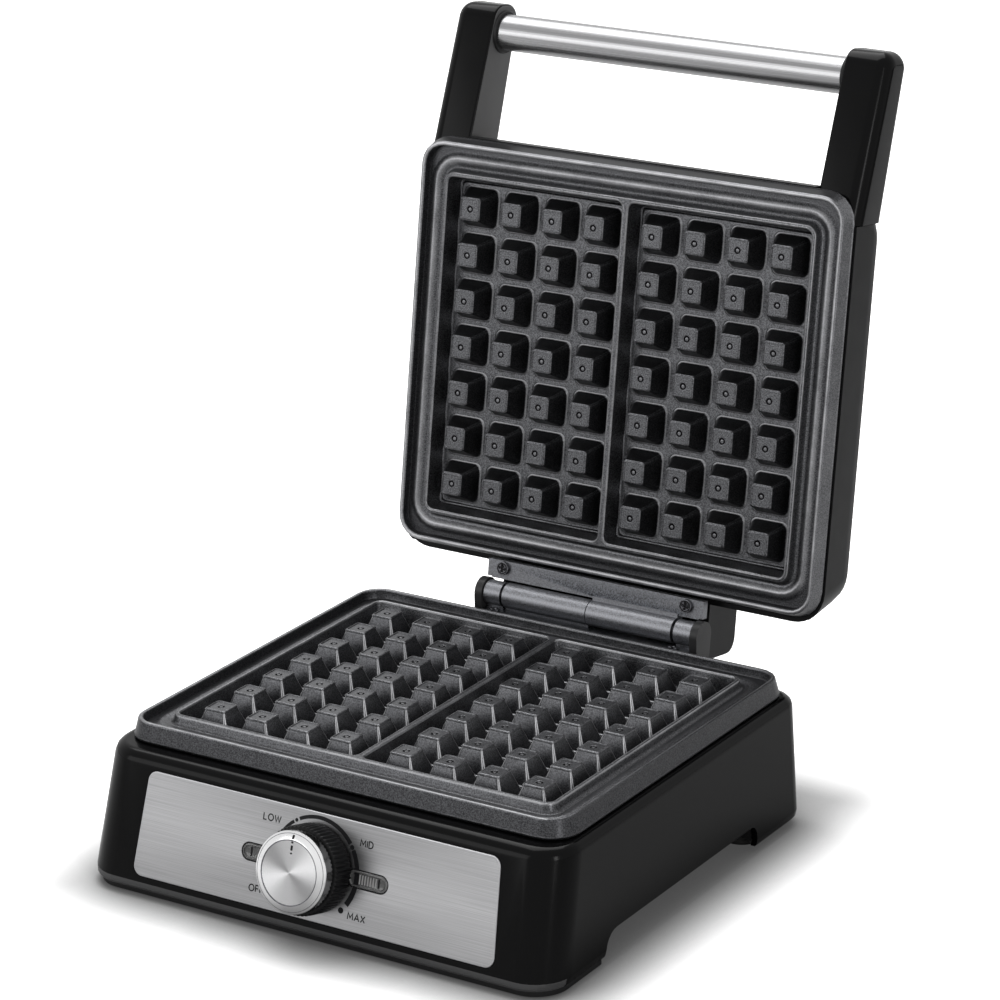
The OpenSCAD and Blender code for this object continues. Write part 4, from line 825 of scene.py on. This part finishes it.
# Strokes of each letter on a square of height 1, and the letter's width
LETTERS = {
    "L": (((0, 1), (0, 0), (0.55, 0)), 0.55),
    "I": (((0, 1), (0, 0)), 0.0),
    "W": (((0, 1), (0.27, 0), (0.54, 0.92), (0.81, 0), (1.08, 1)), 1.08),
    "M": (((0, 0), (0.06, 1), (0.46, 0.28), (0.86, 1), (0.92, 0)), 0.92),
    "A": (((0, 0), (0.42, 1), (0.84, 0)), ((0.17, 0.33), (0.67, 0.33)), 0.84),
    "X": (((0, 0), (0.72, 1)), ((0, 1), (0.28, 0.61)), ((0.44, 0.39), (0.72, 0)), 0.72),
    "F": (((0, 0), (0, 1), (0.52, 1)), ((0.09, 0.52), (0.46, 0.52)), 0.52),
    "D": (((0, 0), (0, 1), (0.3, 1), (0.52, 0.92), (0.66, 0.74), (0.7, 0.5), (0.66, 0.26), (0.52, 0.08), (0.3, 0),
           (0, 0)), 0.7),
    "O": (tuple((0.46 + 0.46 * math.sin(math.radians(20 * k)), 0.5 + 0.5 * math.cos(math.radians(20 * k)))
                for k in range(19)), 0.92),
}
WORD_H, STROKE, LETTER_GAP = 2.9, 0.58, 0.3
WORDS = (("LOW", -24.8, 17.2), ("MID", 25.5, 16.0), ("MAX", 24.6, -16.9), ("OFF", -29.0, -15.7))


def ribbon(shape, line, width):
    """A flat band of even width along a line of points, mitred at its bends."""
    closed = line[0] == line[-1]
    left, right = [], []
    for k, (x, y) in enumerate(line):
        before = line[k - 1] if k else line[-2] if closed else None
        after = line[k + 1] if k + 1 < len(line) else line[1] if closed else None
        parts = ((before, (x, y)), ((x, y), after))
        ways = [Vector((b[0] - a[0], b[1] - a[1])).normalized() for a, b in parts if a and b]
        sides = [Vector((-w.y, w.x)) for w in ways]
        across = sum(sides, Vector((0, 0))).normalized()
        reach = width / 2 / max(across.dot(sides[0]), 0.5)
        left.append((x + across.x * reach, y + across.y * reach, INK_Z))
        right.append((x - across.x * reach, y - across.y * reach, INK_Z))
    shape.loft([(left, 0.0), (right, 0.0)], closed=False)


def word(text, x, y):
    """A word printed on the panel, centred on x and y."""
    shape = Shape()
    pen = x - WORD_H * (sum(LETTERS[c][-1] for c in text) + LETTER_GAP * (len(text) - 1)) / 2
    for c in text:
        *lines, width = LETTERS[c]
        for line in lines:
            ribbon(shape, [(pen + WORD_H * u, y + WORD_H * (v - 0.5)) for u, v in line], STROKE)
        pen += WORD_H * (width + LETTER_GAP)
    build("word_" + text.lower(), shape, PANEL, "print_and_shade", "base", smooth=20)


for text, x, y in WORDS:
    word(text, x, y)


# ---- Handle ----


ARM_INNER_R, ARM_EDGE_R, ARM_TURN_STEPS = 1.4, 7.0, 12
# The sideways parts of a face's normal beyond which it takes painted light: on the arm's inner face, and on its outer
# side
INNER_LIGHT_NORMAL, SIDE_LIGHT_NORMAL = -0.9, 0.98


def arm_loop(x, inset):
    """Outline of a handle arm in side view, drawn in by inset; y and z are those of the closed lid."""
    r = ARM_END_R - inset
    yc = ARM_END_Y + ARM_END_R
    low = ARM_LOW + ARM_LOW_SLOPE * (SEAM_Y - yc) + ARM_END_R
    high = ARM_HIGH + ARM_HIGH_SLOPE * (SEAM_Y - yc) - ARM_END_R
    points = []
    lower_turn = (math.atan2(-1, -ARM_LOW_SLOPE), -math.pi, low)
    upper_turn = (math.pi, math.atan2(1, -ARM_HIGH_SLOPE), high)
    for start, end, zc in (lower_turn, upper_turn):
        for i in range(ARM_TURN_STEPS + 1):
            a = start + (end - start) * i / ARM_TURN_STEPS
            points.append((x, yc + r * math.cos(a), zc + r * math.sin(a)))
    # The straight faces run on to the seam
    seam = SEAM_Y - ARM_GAP
    first, last = points[0], points[-1]
    points.insert(0, (x, seam, first[2] - ARM_LOW_SLOPE * (seam - first[1])))
    points.append((x, seam, last[2] - ARM_HIGH_SLOPE * (seam - last[1])))
    return points


def handle_arm(name, side, node):
    """A handle arm: well rounded on its outer edge, with a soft inner edge, and painted light on its inner face and
    outer side.
    """
    loops = []
    for a in range(0, 91, 15):
        t = math.radians(a)
        x = ARM_IN_X + ARM_INNER_R * (1 - math.cos(t))
        loops.append((arm_loop(x, ARM_INNER_R * (1 - math.sin(t))), 0.0))
    for a in range(0, 91, 9):
        t = math.radians(a)
        x = LID_HALF_W - ARM_EDGE_R * (1 - math.sin(t))
        loops.append((arm_loop(x, ARM_EDGE_R * (1 - math.cos(t))), 0.0))
    shape = Shape().solid(loops)
    shape.points = [(side * x, y, z) for x, y, z in shape.points]
    piece = build(name, shape, LID, "gloss_black", "lid", (node,), smooth=45)
    # The turned lid's matrix goes into the mesh, so that the box round the arm isn't wider than the arm is
    piece.data.transform(piece.matrix_world)
    piece.matrix_world = WORLD
    # The inner face and the outer side take a lighter grey, painted light
    inner_light, outer = add_finishes(piece, "arm_inner_painted_light", "arm_side_painted_light")
    for face in piece.data.polygons:
        outward = side * face.normal.x
        if outward < INNER_LIGHT_NORMAL:
            face.material_index = inner_light
        elif outward > SIDE_LIGHT_NORMAL:
            face.material_index = outer


handle_arm("handle_arm_moulding_left", -1, "handle_arm_left")
handle_arm("handle_arm_moulding_right", 1, "handle_arm_right")

# The bar lies a little above the middle of the arms' height there
BAR_LIFT = 0.2
BAR_Z = (ARM_LOW + ARM_HIGH + (ARM_LOW_SLOPE + ARM_HIGH_SLOPE) * (SEAM_Y - BAR_Y)) / 2 + BAR_LIFT
BAR = LID @ shift(0, BAR_Y, BAR_Z) @ turn(90, "Y")
BAR_WALL, BAR_END_ROOM, COLLAR_PROUD, COLLAR_ROOM, COLLAR_BEVEL = 1.2, 0.2, 1.6, 0.02, 0.4


def handle_bar():
    """The steel tube between the arms, open at its ends, and the collar at either end."""
    r, end = BAR_D / 2, ARM_IN_X + BAR_SOCKET - BAR_END_ROOM
    bore, out = r - BAR_WALL, r + COLLAR_PROUD
    tube = Shape().loft(lathe([(bore, -end), (r, -end), (r, end), (bore, end), (bore, -end)], ROUND_SEGMENTS))
    build("handle_tube", tube, BAR, "bar_steel", "lid", ("handle_bar",), smooth=30)
    rings = Shape()
    for s in (-1, 1):
        x0, x1 = s * (ARM_IN_X - COLLAR_T), s * ARM_IN_X
        rings.loft(lathe([(r + COLLAR_ROOM, x0), (out - COLLAR_BEVEL, x0), (out, x0 + s * COLLAR_BEVEL), (out, x1),
                          (r + COLLAR_ROOM, x1)], ROUND_SEGMENTS))
    build("bar_end_rings", rings, BAR, "matte_black", "lid", ("bar_collars",), smooth=30)


handle_bar()

# ---- Housing, lid shell and hinge, from the solids with their edges rounded ----

# Where the greyer hem along the front's foot, painted as the floor's reflection, and the greyer block behind the
# hinge lie on the housing
HEM_TOP, HEM_FRONT, HEM_SLOPE, BLOCK_LOW, BLOCK_FRONT = 14.0, -145.0, (-0.9, 0.1), 62.0, 66.0

housing = softened("housing_moulding", "base_shell", 0.5, "gloss_black", "base")
hem, block = add_finishes(housing, "hem_grey", "block_grey")
for face in housing.data.polygons:
    middle = face.center / MM
    # The foot's faces that face sideways and down take a grey painted reflection of the floor
    if HEM_SLOPE[0] < face.normal.z < HEM_SLOPE[1] and middle.z < HEM_TOP and middle.y < HEM_FRONT:
        face.material_index = hem
    elif middle.z > BLOCK_LOW and middle.y > BLOCK_FRONT:
        face.material_index = block
softened("lid_moulding", "lid_shell", 0.5, "side_black", "lid")
softened("base_floor", "base_pan", 0.5, "matte_black", "base")
softened("feet", "rubber_feet", 0.4, "rubber", "base")
softened("hinge_base_casting", "hinge_bracket", 0.6, "cast_metal", "base")
softened("hinge_leaf_casting", "hinge_leaf", 0.6, "cast_metal", "lid")
softened("leaf_screw_heads", "leaf_screws", 0.3, "dark_screw", "lid")

# Painted shade on the leaf's face: a dark ring round each of the leaf's screw heads, and a cross in it for the shade
# in its recess
LEAF_SCREW_X, LEAF_SCREW_Y, LEAF_SCREW_Z = 51.0, 69.8, -2.84
SHADE_RING_IN, SHADE_RING_OUT, CROSS_ANGLES, CROSS_LONG, CROSS_WIDE = 2.15, 2.75, (25, 115), 1.9, 0.36
heads = Shape()
for s in (-1, 1):
    x, y, z = s * LEAF_SCREW_X, LEAF_SCREW_Y, LEAF_SCREW_Z
    heads.loft([(rounded(r, r, r, z, x, y, 10), 0.0) for r in (SHADE_RING_IN, SHADE_RING_OUT)])
    for a in CROSS_ANGLES:
        u, v = math.cos(math.radians(a)), math.sin(math.radians(a))
        corners = [(CROSS_LONG * i, CROSS_WIDE * j) for i, j in ((-1, -1), (-1, 1), (1, 1), (1, -1))]
        bar = [(x + long * u - wide * v, y + long * v + wide * u, z) for long, wide in corners]
        heads.loft([(bar, 0.0)], cap_end=True)
build("leaf_screw_painted_shade", heads, LID, "print_and_shade", "lid", smooth=20)
softened("bracket_screw_heads", "bracket_screws", 0.3, "dark_screw", "base")
softened("cord_bush", "cord_gland", 0.4, "matte_black", "base")

# The finishes of the nodes that stay as they are
CARRIED = {
    "plain_steel": ("hinge_pin", "thermostat_shaft", "thermostat_nut", "lower_element", "upper_element",
                    "plate_bolts", "housing_screws", "lid_bolts", "arm_screws"),
    "cast_metal": ("lower_clamps", "upper_clamps"),
    "tray_aluminium": ("lower_reflector", "upper_reflector"),
    "pale_plastic": ("terminal_block", "thermal_fuse"),
    "zinc": ("thermostat",),
    "copper": ("thermostat_bulb",),
    "lamp_glass": ("indicator_lamps",),
    "gloss_black": ("lid_plugs",),
}
for finish, nodes in CARRIED.items():
    for node in nodes:
        holder = frame["nodes"][node]
        if not holder.material_slots:
            holder.data.materials.append(FINISH[finish].material)
        for place in holder.material_slots:
            place.material = FINISH[finish].material


# ---- Studio ----


FLOOR_HALF, FLOOR_WHITE, SHADE_REACH, SHADE_POWER = 6.0, 0.94, 0.05, 1.9
# The floor's glow near the footprint and away from it, and how far from the footprint it starts and ends to change
GLOW_NEAR, GLOW_FAR, GLOW_START, GLOW_END = 0.05, 0.9, -0.004, 0.052
WORLD_LIGHT = 0.26


def floor():
    """A white sheet with the object's shadow. What the camera sees of it also glows, except near the footprint."""
    mesh = bpy.data.meshes.new("studio_floor")
    half = FLOOR_HALF
    mesh.from_pydata([(-half, -half, 0), (half, -half, 0), (half, half, 0), (-half, half, 0)], [], [(0, 1, 2, 3)])
    f = Finish("studio_floor", (FLOOR_WHITE,) * 3, 0.8, spec=0.1)
    low, high = (Vector(corner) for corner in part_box("base_shell"))
    middle, half_size = (low + high) / 2, (high - low) / 2
    middle.z = half_size.z = 0
    # The distance from the footprint's rectangle
    away = f.place
    for operation, other in (("SUBTRACT", middle), ("ABSOLUTE", None), ("SUBTRACT", half_size), ("MAXIMUM", Vector()),
                             ("LENGTH", None)):
        step = f.add("ShaderNodeVectorMath", operation=operation)
        f.link(away, step.inputs[0])
        if other is not None:
            step.inputs[1].default_value = other
        away = step.outputs["Value" if operation == "LENGTH" else "Vector"]
    mask = f.add("ShaderNodeMapRange", interpolation_type="SMOOTHSTEP")
    for socket, value in (("From Min", GLOW_START), ("From Max", GLOW_END), ("To Min", GLOW_NEAR),
                          ("To Max", GLOW_FAR)):
        mask.inputs[socket].default_value = value
    f.link(away, mask.inputs["Value"])
    # Painted shade: the narrow places under the body are darker, by ambient occlusion in the floor's colour
    open_share = f.add("ShaderNodeAmbientOcclusion", samples=16)
    open_share.inputs["Distance"].default_value = SHADE_REACH
    shade = f.math("POWER", open_share.outputs["AO"], SHADE_POWER)
    f.link(f.tint(shade, (0.0, 0.0, 0.0), (FLOOR_WHITE,) * 3), "Base Color")
    glow = f.add("ShaderNodeEmission")
    seen = f.add("ShaderNodeLightPath").outputs["Is Camera Ray"]
    f.link(f.math("MULTIPLY", seen, mask.outputs["Result"]), glow.inputs["Strength"])
    total = f.add("ShaderNodeAddShader")
    f.link(f.shader.outputs["BSDF"], total.inputs[0])
    f.link(glow.outputs["Emission"], total.inputs[1])
    f.link(total.outputs["Shader"], f.tree.nodes["Material Output"].inputs["Surface"])
    mesh.materials.append(f.material)
    sheet = bpy.data.objects.new("studio_floor", mesh)
    bpy.context.scene.collection.objects.link(sheet)


def world():
    """White where it is seen, also in gloss and through clear plastic, and a soft light all round."""
    w = bpy.data.worlds.new("studio")
    bpy.context.scene.world = w
    w.use_nodes = True
    nodes, links = w.node_tree.nodes, w.node_tree.links
    path = nodes.new("ShaderNodeLightPath")
    seen = path.outputs["Is Camera Ray"]
    for ray in ("Is Glossy Ray", "Is Transmission Ray"):
        either = nodes.new("ShaderNodeMath")
        either.operation, either.use_clamp = "ADD", True
        links.new(seen, either.inputs[0])
        links.new(path.outputs[ray], either.inputs[1])
        seen = either.outputs["Value"]
    level = nodes.new("ShaderNodeMapRange")
    level.inputs["To Min"].default_value = WORLD_LIGHT
    level.inputs["To Max"].default_value = 1.0
    links.new(seen, level.inputs["Value"])
    links.new(level.outputs["Result"], nodes["Background"].inputs["Strength"])
    nodes["Background"].inputs["Color"].default_value = (1, 1, 1, 1)


def lamp(name, place, aim, size, watts):
    light = bpy.data.lights.new(name, "AREA")
    light.shape, light.size, light.size_y, light.energy = "RECTANGLE", size[0], size[1], watts
    thing = bpy.data.objects.new(name, light)
    thing.location = place
    thing.rotation_mode = "QUATERNION"
    thing.rotation_quaternion = (Vector(aim) - Vector(place)).to_track_quat("-Z", "Y")
    bpy.context.scene.collection.objects.link(thing)


floor()
world()
lamp("front", place=(-1.1, -1.75, 0.8), aim=(0, 0, 0.15), size=(1.3, 1.0), watts=10)
lamp("strip", place=(1.4, -0.95, 0.6), aim=(0, 0, 0.15), size=(0.25, 0.9), watts=6)
lamp("top", place=(-0.5, 0.5, 1.8), aim=(0, 0, 0.1), size=(1.5, 1.5), watts=30)

# The camera is the photograph's, with the image's right, down and depth as directions in the scene
CAMERA_PLACE, CAMERA_LENS, CAMERA_SENSOR = (0.94323, -1.46441, 0.77533), 146.03, 36.0
RIGHT = Vector((0.8442808634, 0.5356558499, -0.0162059964))
DOWN = Vector((0.1663813780, -0.2907505848, -0.9422214891))
FORWARD = Vector((-0.5094183554, 0.7928031962, -0.3345983132))
camera_data = bpy.data.cameras.new("camera")
camera_data.lens, camera_data.sensor_width = CAMERA_LENS, CAMERA_SENSOR
camera_data.clip_start, camera_data.clip_end = 0.05, 30
camera = bpy.data.objects.new("camera", camera_data)
rotation = Matrix((RIGHT, -DOWN, -FORWARD)).transposed()
camera.matrix_world = Matrix.Translation(CAMERA_PLACE) @ rotation.to_4x4()
bpy.context.scene.collection.objects.link(camera)
bpy.context.scene.camera = camera
bpy.context.scene.view_settings.view_transform = "Standard"
